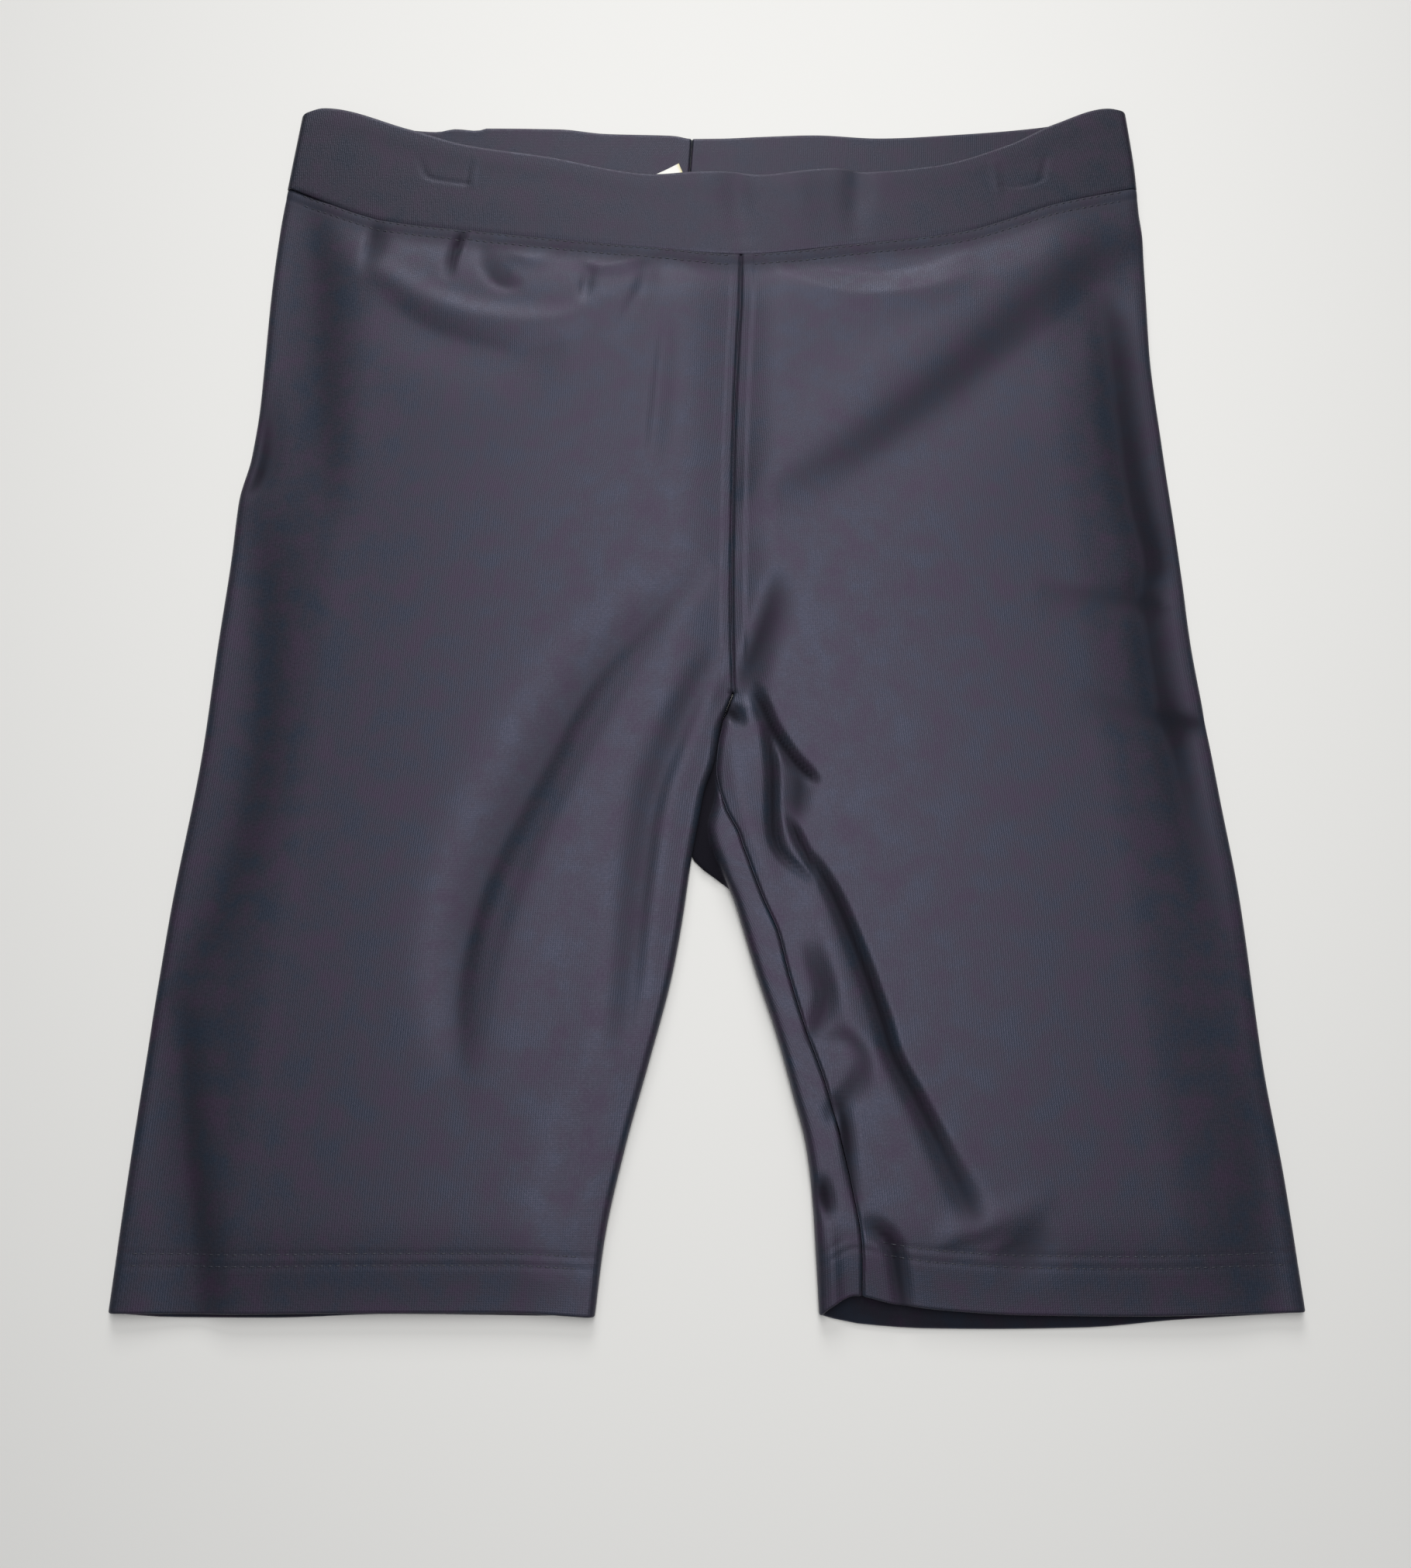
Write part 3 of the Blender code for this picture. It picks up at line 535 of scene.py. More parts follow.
class Shell:
    """Mesh data of a thin closed wall, from grids of outer and inner points."""

    def __init__(self, outer: np.ndarray, inner: np.ndarray, rims: int) -> None:
        """Stacks the wall's rows: the outer face, a round rim at its last row, then the inner face back.

        Args:
            outer: Outer points, as rows by columns by 3.
            inner: Inner points, of the same shape.
            rims: Rows in the round rim that joins the last rows.
        """
        middle, half = (outer[-1] + inner[-1]) / 2, (outer[-1] - inner[-1]) / 2
        onward = outer[-1] - outer[-2]
        onward /= np.linalg.norm(onward, axis=1)[:, None]
        radius = np.linalg.norm(half, axis=1)[:, None]
        angles = math.pi * np.arange(1, rims + 1) / (rims + 1)
        rim = [middle + half * math.cos(a) + onward * radius * math.sin(a) for a in angles]
        self.rims = rims
        self.grid = np.concatenate([outer, np.array(rim).reshape(rims, -1, 3), inner[::-1]])

    def over(self, outer: np.ndarray, inner: np.ndarray) -> np.ndarray:
        """Values of the wall's points, in the order of its grid.

        Args:
            outer: Values of the outer face, as rows by columns, or by columns by more.
            inner: Values of the inner face, of the same shape.

        Returns:
            One row for each point. The rim has the values of the outer face's last row.
        """
        stacked = np.concatenate([outer, np.repeat(outer[-1:], self.rims, axis=0), inner[::-1]])
        return stacked.reshape(-1, *stacked.shape[2:])

    def faces(self) -> list[tuple[int, int, int, int]]:
        """The faces round the loop of rows, and those that close the two sewn edges.

        Returns:
            Point numbers of each face.
        """
        rows, columns = self.grid.shape[:2]
        found = []
        for i in range(rows):
            here, beyond = i * columns, (i + 1) % rows * columns
            for j in range(columns - 1):
                found.append((here + j, beyond + j, beyond + j + 1, here + j + 1))
        half = rows // 2
        for i in range(half):
            here, beyond = i * columns, (i + 1) * columns
            under, under_beyond = (rows - 1 - i) * columns, (rows - 2 - i) * columns
            if beyond == under_beyond + columns or beyond == under:
                break
            last = columns - 1
            if beyond == under_beyond:
                found.append((here, under, beyond))
                found.append((here + last, beyond + last, under + last))
                break
            found.append((here, under, under_beyond, beyond))
            found.append((here + last, beyond + last, under_beyond + last, under + last))
        return found


def grid_normals(grid: np.ndarray) -> np.ndarray:
    """Unit normals of a grid of points.

    Args:
        grid: Points, as rows by columns by 3.

    Returns:
        Normals of the same shape, along the cross product of the step down the rows and the step across.
    """
    down = np.gradient(grid, axis=0)
    across = np.gradient(grid, axis=1)
    normals = np.cross(down, across)
    return normals / np.maximum(np.linalg.norm(normals, axis=2), 1e-9)[:, :, None]


def make_mesh(
    name: str,
    points: np.ndarray,
    faces: list[tuple[int, ...]],
    material: bpy.types.Material,
    flat_places: np.ndarray | None = None,
    shade: np.ndarray | None = None,
) -> bpy.types.Object:
    """A smooth-shaded mesh object.

    Args:
        name: The piece's name.
        points: Its points, in millimetres.
        faces: Its faces.
        material: Its finish.
        flat_places: Each point's place on the flat cloth in millimetres, for the finish's pattern.
        shade: How deep each point lies in a crease, from 0 to 1.

    Returns:
        The object, in metres.
    """
    mesh = bpy.data.meshes.new(name)
    mesh.from_pydata((np.asarray(points) * METRES_PER_MM).tolist(), [], faces)
    mesh.validate()
    mesh.shade_smooth()
    mesh.materials.append(material)
    if flat_places is not None:
        corners = np.empty(len(mesh.loops), np.int32)
        mesh.loops.foreach_get("vertex_index", corners)
        layer = mesh.uv_layers.new(name=CLOTH_MAP)
        layer.data.foreach_set("uv", flat_places[corners].astype(np.float32).ravel())
    if shade is not None:
        attribute = mesh.attributes.new(PAINTED_SHADE, "FLOAT", "POINT")
        attribute.data.foreach_set("value", shade.astype(np.float32))
    piece = bpy.data.objects.new(name, mesh)
    bpy.context.scene.collection.objects.link(piece)
    return piece


def add_node(
    tree: bpy.types.NodeTree,
    kind: str,
    settings: dict[str | int, object] | None = None,
    links: dict[str | int, bpy.types.NodeSocket] | None = None,
) -> bpy.types.Node:
    """Adds one node to a material.

    Args:
        tree: The material's nodes.
        kind: Blender's name for the node.
        settings: Values by the name of a property or a socket, or by a socket's number.
        links: The socket that feeds each input, by its name or number.

    Returns:
        The node.
    """
    node = tree.nodes.new(kind)
    for key, value in (settings or {}).items():
        if isinstance(key, str) and hasattr(node, key):
            setattr(node, key, value)
        else:
            node.inputs[key].default_value = value
    for key, source in (links or {}).items():
        tree.links.new(source, node.inputs[key])
    return node


def ramp(node: bpy.types.Node, stops: tuple[tuple[float, str], ...]) -> None:
    """Sets a colour ramp's stops.

    Args:
        node: The ramp.
        stops: Rows of (place, sRGB hex).
    """
    elements = node.color_ramp.elements
    while len(elements) > 1:
        elements.remove(elements[-1])
    elements[0].position, elements[0].color = stops[0][0], linear(stops[0][1])
    for place, colour in stops[1:]:
        elements.new(place).color = linear(colour)


def new_finish(name: str) -> tuple[bpy.types.Material, bpy.types.NodeTree, bpy.types.Node]:
    """A new material with one shader.

    Args:
        name: The material's name.

    Returns:
        The material, its nodes and its Principled BSDF.
    """
    made = bpy.data.materials.new(name)
    made.use_nodes = True
    return made, made.node_tree, made.node_tree.nodes["Principled BSDF"]


@dataclass(frozen=True)
class TricotKnit:
    """Polyamide and elastane tricot, warp-knitted, piece-dyed charcoal navy and left matt.

    The eye gets a smooth dark cloth with a soft satin light on its ridges, a fine grain of loops, and a
    faint mottle of blue and plum where the dye took unevenly. The real loops are about 0.35 mm apart, too
    fine to show, so they are drawn at wale and course. Its tight creases and its inside get painted shade:
    the base colour is darkened by the mesh's shade attribute.
    """

    name: str
    colour: str = "#26272f"
    cool: str = "#1f2833"
    warm: str = "#2d2432"
    roughness: float = 0.47
    unevenness: float = 0.05
    painted_crease_dark: float = 0.94
    gloss: float = 0.5
    sheen: float = 0.03
    sheen_roughness: float = 0.5
    sheen_tint: str = "#9aa0b4"
    gloss_tint: str = "#e4dcff"
    wale: float = 0.85
    course: float = 0.75
    grain: float = 0.9
    mottle: float = 14.0
    loop_depth: float = 0.01
    surface_depth: float = 0.05
    leg_share: float = 0.6
    loop_peak: float = 1.6
    loop_tone: float = 0.03
    grain_tone: float = 0.14
    noise_low: float = 0.3
    noise_high: float = 0.7
    dye_spread: float = 0.14
    crease_roughness: float = 0.9

    def material(self) -> bpy.types.Material:
        """The finish as nodes, on the cloth's own map in millimetres.

        Returns:
            The material.
        """
        made, tree, shader = new_finish(self.name)
        shader.inputs["Metallic"].default_value = 0.0
        shader.inputs["Specular IOR Level"].default_value = self.gloss
        shader.inputs["Specular Tint"].default_value = linear(self.gloss_tint)
        shader.inputs["Sheen Weight"].default_value = self.sheen
        shader.inputs["Sheen Roughness"].default_value = self.sheen_roughness
        shader.inputs["Sheen Tint"].default_value = linear(self.sheen_tint)
        place = add_node(tree, "ShaderNodeUVMap", {"uv_map": CLOTH_MAP})
        split = add_node(tree, "ShaderNodeSeparateXYZ", links={0: place.outputs["UV"]})
        math_node = "ShaderNodeMath"
        turns = {"operation": "MULTIPLY", 1: 2 * math.pi}
        across = add_node(tree, math_node, {"operation": "DIVIDE", 1: self.wale}, {0: split.outputs["X"]})
        down = add_node(tree, math_node, {"operation": "DIVIDE", 1: self.course}, {0: split.outputs["Y"]})
        # Each wale is a column of V-shaped loops: the course lines rise to both sides of its middle
        slant = add_node(tree, math_node, {"operation": "PINGPONG", 1: 0.5}, {0: across.outputs[0]})
        lean = add_node(tree, math_node, {"operation": "ADD"}, {0: down.outputs[0], 1: slant.outputs[0]})
        turn = add_node(tree, math_node, turns, {0: lean.outputs[0]})
        legs = add_node(tree, math_node, {"operation": "SINE"}, {0: turn.outputs[0]})
        column = add_node(tree, math_node, turns, {0: across.outputs[0]})
        groove = add_node(tree, math_node, {"operation": "COSINE"}, {0: column.outputs[0]})
        loops = add_node(
            tree, math_node, {"operation": "MULTIPLY_ADD", 1: self.leg_share},
            {0: legs.outputs[0], 2: groove.outputs[0]},
        )
        grain = add_node(
            tree, "ShaderNodeTexNoise", {"Scale": 1 / self.grain, "Detail": 2.0, "Roughness": 0.6},
            {"Vector": place.outputs["UV"]},
        )
        mottle = add_node(
            tree, "ShaderNodeTexNoise", {"Scale": 1 / self.mottle, "Detail": 4.0, "Roughness": 0.62},
            {"Vector": place.outputs["UV"]},
        )
        dye = add_node(tree, "ShaderNodeValToRGB", links={0: mottle.outputs[0]})
        ramp(dye, (
            (0.5 - self.dye_spread, self.cool), (0.5, self.colour), (0.5 + self.dye_spread, self.warm),
        ))
        # Grain and loops lighten and darken the dye a little
        noise_range = {"From Min": self.noise_low, "From Max": self.noise_high}
        speck = add_node(
            tree, "ShaderNodeMapRange",
            {**noise_range, "To Min": 1 - self.grain_tone, "To Max": 1 + self.grain_tone},
            {"Value": grain.outputs[0]},
        )
        shade = add_node(
            tree, "ShaderNodeMapRange",
            {"From Min": -self.loop_peak, "From Max": self.loop_peak, "To Min": 1 - self.loop_tone,
             "To Max": 1 + self.loop_tone},
            {"Value": loops.outputs[0]},
        )
        factors = {0: speck.outputs[0], 1: shade.outputs[0]}
        depth = add_node(tree, math_node, {"operation": "MULTIPLY"}, factors)
        coloured = add_node(
            tree, "ShaderNodeVectorMath", {"operation": "SCALE"},
            {0: dye.outputs[0], "Scale": depth.outputs[0]},
        )
        # Painted shade: the base colour is darkened where the mesh's shade attribute marks tight creases and
        # the inside
        crease = add_node(tree, "ShaderNodeAttribute", {"attribute_name": PAINTED_SHADE})
        kept = add_node(
            tree, "ShaderNodeMapRange", {"To Min": 1.0, "To Max": 1 - self.painted_crease_dark},
            {"Value": crease.outputs["Fac"]},
        )
        shaded = add_node(
            tree, "ShaderNodeVectorMath", {"operation": "SCALE"},
            {0: coloured.outputs[0], "Scale": kept.outputs[0]},
        )
        tree.links.new(shaded.outputs[0], shader.inputs["Base Color"])
        # The gloss is as uneven as the dye and the grain, and a tight crease has next to none
        patchy = add_node(
            tree, "ShaderNodeMapRange",
            {**noise_range, "To Min": -self.unevenness, "To Max": self.unevenness},
            {"Value": mottle.outputs[0]},
        )
        matt = add_node(
            tree, "ShaderNodeMapRange",
            {
                **noise_range,
                "To Min": self.roughness - self.unevenness,
                "To Max": self.roughness + self.unevenness,
            },
            {"Value": grain.outputs[0]},
        )
        even = add_node(tree, math_node, {"operation": "ADD"}, {0: patchy.outputs[0], 1: matt.outputs[0]})
        rough = add_node(
            tree, math_node, {"operation": "MULTIPLY_ADD", 1: self.crease_roughness},
            {0: crease.outputs["Fac"], 2: even.outputs[0]},
        )
        tree.links.new(rough.outputs[0], shader.inputs["Roughness"])
        loop_bump = add_node(
            tree, "ShaderNodeBump", {"Strength": 1.0, "Distance": self.loop_depth * METRES_PER_MM},
            {"Height": loops.outputs[0]},
        )
        grain_bump = add_node(
            tree, "ShaderNodeBump", {"Strength": 1.0, "Distance": self.surface_depth * METRES_PER_MM},
            {"Height": grain.outputs[0], "Normal": loop_bump.outputs[0]},
        )
        tree.links.new(grain_bump.outputs[0], shader.inputs["Normal"])
        return made


@dataclass(frozen=True)
class TwistedThread:
    """Textured polyester sewing thread, a shade lighter than the cloth. It gives the seams their ticks."""

    name: str = "polyester_thread"
    colour: str = "#3a3b46"
    twist_colour: str = "#24262e"
    roughness: float = 0.5
    twist: float = 0.35
    bands_per_unit: float = 6.0

    def material(self) -> bpy.types.Material:
        """The finish as nodes: slanting stripes of twist in the thread's own space."""
        made, tree, shader = new_finish(self.name)
        shader.inputs["Roughness"].default_value = self.roughness
        place = add_node(tree, "ShaderNodeTexCoord")
        stripes = add_node(
            tree, "ShaderNodeTexWave",
            {"wave_type": "BANDS", "bands_direction": "DIAGONAL",
             "Scale": 1 / (self.twist * METRES_PER_MM * self.bands_per_unit)},
            {"Vector": place.outputs["Object"]},
        )
        tone = add_node(tree, "ShaderNodeValToRGB", links={0: stripes.outputs[0]})
        ramp(tone, ((0.0, self.twist_colour), (1.0, self.colour)))
        tree.links.new(tone.outputs[0], shader.inputs["Base Color"])
        return made


@dataclass(frozen=True)
class WovenSatin:
    """White polyester satin ribbon, woven and heat cut. It gives a soft white with a faint cross rib."""

    name: str = "woven_polyester_satin"
    colour: str = "#f1efe9"
    shaded_edge_colour: str = "#e2d7a4"
    roughness: float = 0.42
    rib: float = 0.5
    rib_depth: float = 0.02
    shaded_edge_width: float = 1.6

    def material(self) -> bpy.types.Material:
        """The finish as nodes: fine ribs across the ribbon, and a yellowish band of painted shade along one
        edge.
        """
        made, tree, shader = new_finish(self.name)
        shader.inputs["Roughness"].default_value = self.roughness
        place = add_node(tree, "ShaderNodeUVMap", {"uv_map": CLOTH_MAP})
        split = add_node(tree, "ShaderNodeSeparateXYZ", links={0: place.outputs["UV"]})
        turn = add_node(
            tree, "ShaderNodeMath", {"operation": "MULTIPLY", 1: 2 * math.pi / self.rib},
            {0: split.outputs["Y"]},
        )
        ribs = add_node(tree, "ShaderNodeMath", {"operation": "SINE"}, {0: turn.outputs[0]})
        # Painted shade: the white turns yellowish towards one edge
        edge = add_node(
            tree, "ShaderNodeMapRange",
            {"From Min": 0.0, "From Max": self.shaded_edge_width, "To Min": 0.0, "To Max": 1.0},
            {"Value": split.outputs["X"]},
        )
        tone = add_node(tree, "ShaderNodeValToRGB", links={0: edge.outputs[0]})
        ramp(tone, ((0.0, self.shaded_edge_colour), (1.0, self.colour)))
        tree.links.new(tone.outputs[0], shader.inputs["Base Color"])
        bump = add_node(
            tree, "ShaderNodeBump", {"Strength": 1.0, "Distance": self.rib_depth * METRES_PER_MM},
            {"Height": ribs.outputs[0]},
        )
        tree.links.new(bump.outputs[0], shader.inputs["Normal"])
        return made


@dataclass(frozen=True)
class StudioPaper:
    """Matt seamless paper, off-white. It gives an even pale ground."""

    name: str = "studio_paper"
    colour: str = "#e9e8e5"
    roughness: float = 0.9
    tooth: float = 1.5
    tooth_depth: float = 0.05
    tooth_strength: float = 0.2

    def material(self) -> bpy.types.Material:
        """The finish as nodes, with the paper's faint tooth."""
        made, tree, shader = new_finish(self.name)
        shader.inputs["Roughness"].default_value = self.roughness
        shader.inputs["Base Color"].default_value = linear(self.colour)
        place = add_node(tree, "ShaderNodeTexCoord")
        tooth = add_node(
            tree, "ShaderNodeTexNoise", {"Scale": 1 / (self.tooth * METRES_PER_MM), "Detail": 2.0},
            {"Vector": place.outputs["Object"]},
        )
        bump = add_node(
            tree, "ShaderNodeBump",
            {"Strength": self.tooth_strength, "Distance": self.tooth_depth * METRES_PER_MM},
            {"Height": tooth.outputs[0]},
        )
        tree.links.new(bump.outputs[0], shader.inputs["Normal"])
        return made


@dataclass(frozen=True)
class SewnEdge:
    """How cloth dips into a seam: the groove, and the swell of its allowance, from the edge inwards.

    The swell rises over swell_rise, and ends at swell_reach in a step.
    """

    groove: float = 0.7
    groove_width: float = 0.55
    swell: float = 0.15
    swell_rise: float = 1.0
    swell_reach: float = 4.0
    step: float = 0.6

    def lift(self, distance: np.ndarray, rise: np.ndarray) -> np.ndarray:
        """The change in the cloth's height beside the edge.

        Args:
            distance: Distances from the edge.
            rise: How much of the swell shows, from 0 to 1.

        Returns:
            The changes, of the same shape.
        """
        swell = self.swell * smooth_step(distance / self.swell_rise)
        swell = swell * smooth_step((self.swell_reach - distance) / self.step + 0.5)
        return rise * swell - self.groove * bell(distance, self.groove_width)


@dataclass(frozen=True)
class StitchPull:
    """How stitching pulls the front cloth down, at the waist seam and along the hem's rows."""

    seam_groove: float = 0.3
    seam_groove_width: float = 0.6
    waist_row: float = 5.0
    waist_pull: float = 0.16
    waist_pull_width: float = 0.8
    swell: float = 0.12
    swell_start: float = 0.6
    swell_rise: float = 1.0
    swell_end: float = 4.2
    swell_fall: float = 1.5
    hem_rows: tuple[float, ...] = (15.2, 19.2)
    hem_pull: float = 0.13
    hem_pull_width: float = 0.9

    def lift(self, to_waist: np.ndarray, to_hem: np.ndarray) -> np.ndarray:
        """The change in the front cloth's height.

        Args:
            to_waist: Distances below the waist seam.
            to_hem: Distances above the hem's edge, of the same shape.

        Returns:
            The changes, of the same shape.
        """
        lifted = -self.seam_groove * bell(to_waist, self.seam_groove_width)
        lifted = lifted - self.waist_pull * bell(to_waist - self.waist_row, self.waist_pull_width)
        rise = self.swell * smooth_step((to_waist - self.swell_start) / self.swell_rise)
        lifted = lifted + rise * smooth_step((self.swell_end - to_waist) / self.swell_fall)
        for row in self.hem_rows:
            lifted = lifted - self.hem_pull * bell(to_hem - row, self.hem_pull_width)
        return lifted


@dataclass
class Leg:
    """One leg: a single piece of cloth, folded at the side, sewn down the inseam and turned up at the hem.

    Its grid runs in rows down the leg, and in columns round it from its back edge to its front edge. A leg
    with a web has the back's lower crotch: its back layer reaches beyond the front's inner fold there, and
    its upper face there has painted shade.
    """

    name: str
    side: Side
    side_fold: Line
    inner_fold: Line
    inseam_roll: Line
    inseam_on_front: bool
    front_hem: Line
    back_hem: Line
    relief: FrontRelief
    first_edge: SewnEdge
    last_edge: SewnEdge
    pull: StitchPull = StitchPull()
    wall: float = 0.8
    hem_wall: float = 1.4
    hem_height: float = 19.0
    hem_step: float = 1.2
    fold_radius: float = 3.2
    inner_fold_growth: float = 14.0
    nominal_height: float = 4.6
    seam_gap: float = 0.1
    waist_curve_reach: float = 120.0
    hem_curve_reach: float = 40.0
    back_rise_strip: float = 10.0
    inner_fold_reach: float = 3.0
    least_inner_share: float = 0.25
    has_web: bool = False
    web_height: float = 1.2
    web_tuck: float = 0.3
    # Painted shade: how dark the web's upper face is coloured
    web_shade: float = 1.0
    web_fade: float = 0.5
    web_top: float = 0.62
    web_top_fade: float = 0.2
    seam_zone: float = 12.0
    seam_step: float = 0.8
    rise_rows: int = 110
    crotch_steps: tuple[float, ...] = (0.8, 1.8, 3.0)
    thigh_rows: int = 112
    row_step: float = 1.2
    hem_zone: float = 4.0
    hem_step_above: float = 0.8
    hem_row_step: float = 0.9
    hem_last_zone: float = 1.4
    hem_last_steps: tuple[float, ...] = (1.2, 0.6, 0.0)
    back_columns: int = 22
    side_columns: int = 12
    front_columns: int = 98
    inner_columns: int = 26
    edge_steps: tuple[float, ...] = (0.0, 0.35, 0.8, 1.3, 1.9, 2.6, 3.3, 3.9, 4.4, 5.0, 5.8, 6.8, 8.0)
    edge_steps_share: float = 0.9
    front_share: float = 0.5
    front_share_fade: float = 0.4
    floor_share: float = 0.02
    floor_sink: float = 0.5
    # Painted shade: on the inside of the shell, and in a band below the waist seam
    inside_shade: float = 0.6
    waist_shade: float = 0.22
    waist_shade_reach: float = 12.0
    waist_shade_fade: float = 8.0
    allowance_fade: float = 14.0
    column_growth: float = 0.9
    row_growth: float = 0.5
    rim_rows: int = 3
    section_samples: int = 90
    fold_samples: int = 16

    def rows(self) -> np.ndarray:
        """The grid's rows, closer together at the seam and the hem.

        Returns:
            Their places down the leg.
        """
        seam = SIDE_WAIST_Y - np.arange(0.0, self.seam_zone, self.seam_step)
        rise = np.linspace(seam[-1] - self.row_step, CROTCH_Y, self.rise_rows)
        crotch = CROTCH_Y - np.array(self.crotch_steps)
        hem_top = HEM_Y + self.hem_height + self.hem_zone
        thigh_top = crotch[-1] - self.row_step
        thigh = thigh_top - (thigh_top - hem_top) * widening(self.thigh_rows, self.row_growth)
        hem = np.arange(hem_top - self.hem_step_above, HEM_Y + self.hem_last_zone, -self.hem_row_step)
        return np.concatenate([seam, rise, crotch, thigh, hem, HEM_Y + np.array(self.hem_last_steps)])

    def arc(
        self, centre: float, out: int, radius: float, first: float, last: float, count: int
    ) -> np.ndarray:
        """Points round a fold.

        Args:
            centre: The x of the fold's centre.
            out: 1 where the fold's round side lies towards +X, -1 where it lies the other way.
            radius: How far it reaches along X.
            first: The first angle in degrees, where -90 is the floor and 90 the top.
            last: The last angle.
            count: How many points.

        Returns:
            The points as (x, nominal height).
        """
        angles = np.radians(np.linspace(first, last, count))
        height = self.nominal_height / 2 * (1 + np.sin(angles))
        return np.column_stack([centre + out * radius * np.cos(angles), height])

    def run(self, first: float, last: float, height: float) -> np.ndarray:
        """Points of one flat layer between two places across the garment."""
        x = np.linspace(first, last, self.section_samples)
        return np.column_stack([x, np.full(len(x), height)])

    def section(self, y: float) -> tuple[np.ndarray, tuple[float, float, float, float], float]:
        """The cloth's path round the leg at one place, from its back edge to its front edge.

        Args:
            y: The place down the leg.

        Returns:
            The points as (x, nominal height), then the distances where the side fold starts and ends, where
            the back starts and where the front ends, then how much is trimmed off each sewn edge.
        """
        out = self.side.value
        side = float(self.side_fold.at(y)) - out * self.fold_radius
        half = 2 * self.fold_samples
        if y >= CROTCH_Y:
            back = self.run(float(CENTRE_BACK.at(y)) + out * self.seam_gap / 2, side, 0.0)
            front = self.run(side, float(CENTRE_FRONT.at(y)) + out * self.seam_gap / 2, self.nominal_height)
            path = np.concatenate([back, self.arc(side, out, self.fold_radius, -90, 90, half)[1:-1], front])
            measured = path_length(path)
            start, end, whole = measured[len(back) - 1], measured[-len(front)], measured[-1]
            if self.inseam_on_front:
                return path, (start, end, self.back_rise_strip, whole), 0.0
            return path, (start, end, 0.0, whole - self.back_rise_strip), 0.0
        radius = self.inner_radius(y)
        inner = float(self.inner_fold.at(y)) + out * radius
        roll = float(self.inseam_roll.at(y))
        under = self.arc(inner, -out, radius, 0, -90, self.fold_samples)
        web = self.web_reach(y)
        if web > 0:
            middle, edge = self.nominal_height / 2, inner - out * (radius + web)
            turn_in = np.linspace(0, math.pi / 2, self.fold_samples)
            upper = np.column_stack([
                inner - out * radius - out * web * (1 - np.cos(turn_in)),
                middle - (middle - self.web_height) * np.sin(turn_in),
            ])
            under = np.concatenate([upper, [[edge, self.web_height / 2]], [[edge, 0.0]]])
            back = self.run(edge, side, 0.0)
        else:
            back = self.run(inner, side, 0.0)
        turn = self.arc(side, out, self.fold_radius, -90, 90, half)
        front = self.run(side, inner, self.nominal_height)
        over = self.arc(inner, -out, radius, 90, 0, self.fold_samples)
        loop = np.concatenate([under, back[1:], turn[1:-1], front, over[1:]])
        measured = path_length(loop)
        whole = measured[-1]
        back_start = measured[len(under) - 1]
        side_start = measured[len(under) + len(back) - 2]
        side_end = measured[-len(front) - len(over) + 1]
        inner_end = measured[-len(over)]
        trim = self.seam_gap / 2
        if self.inseam_on_front:
            strip = max(self.back_rise_strip, roll + back_start + self.inner_fold_reach)
            return opened_at(loop, whole - roll), (roll + side_start, roll + side_end, strip, whole), trim
        strip = max(self.back_rise_strip, whole - inner_end + roll + self.inner_fold_reach)
        return opened_at(loop, roll), (side_start - roll, side_end - roll, 0.0, whole - strip), trim

    def web_reach(self, y: float) -> float:
        """How far the back layer reaches beyond the front's inner fold, where the back's crotch is the lower.

        Args:
            y: The place down the leg.

        Returns:
            The reach, 0 where the leg has no web.
        """
        if not self.has_web or y >= CROTCH_Y:
            return 0.0
        gap = float(self.inner_fold.at(y)) - float(RIGHT_INNER_FOLD.at(y)) - self.seam_gap
        under = self.web_tuck * float(smooth_step((CROTCH_Y - y) / self.inner_fold_growth))
        return max(0.0, (gap + under) * float(BACK_CROTCH.at(y)))

    def inner_radius(self, y: float) -> float:
        """The inner fold's radius, which grows from the crotch down."""
        grown = float(smooth_step((CROTCH_Y - y) / self.inner_fold_growth))
        return self.fold_radius * max(self.least_inner_share, grown)

    def columns(self, marks: tuple[float, float, float, float], whole: float, trim: float) -> np.ndarray:
        """Where a row's points lie along its section.

        Args:
            marks: Where the side fold starts and ends, where the back starts and where the front ends.
            whole: The section's length.
            trim: How much is trimmed off each sewn edge.

        Returns:
            Distances from the section's start, from its back edge to its front edge.
        """
        side_start, side_end, back_start, front_end = marks
        steps = np.array(self.edge_steps) + trim
        near = steps[steps < self.edge_steps_share * self.back_rise_strip]
        front_count = self.front_columns + len(near) - 1
        side = zone(side_start, side_end, self.side_columns)
        if self.inseam_on_front:
            first = spread(near, back_start, self.inner_columns)
            back = zone(back_start, side_start, self.back_columns)
            front = spread(near, whole - side_end, front_count, self.column_growth)
            return np.concatenate([first, back, side, (whole - front)[::-1], [whole - trim]])
        back = zone(trim, side_start, self.back_columns)
        last = spread(near, whole - front_end, self.inner_columns)
        front = zone(side_end, front_end, front_count)
        return np.concatenate([back, side, front, (whole - last)[::-1], [whole - trim]])

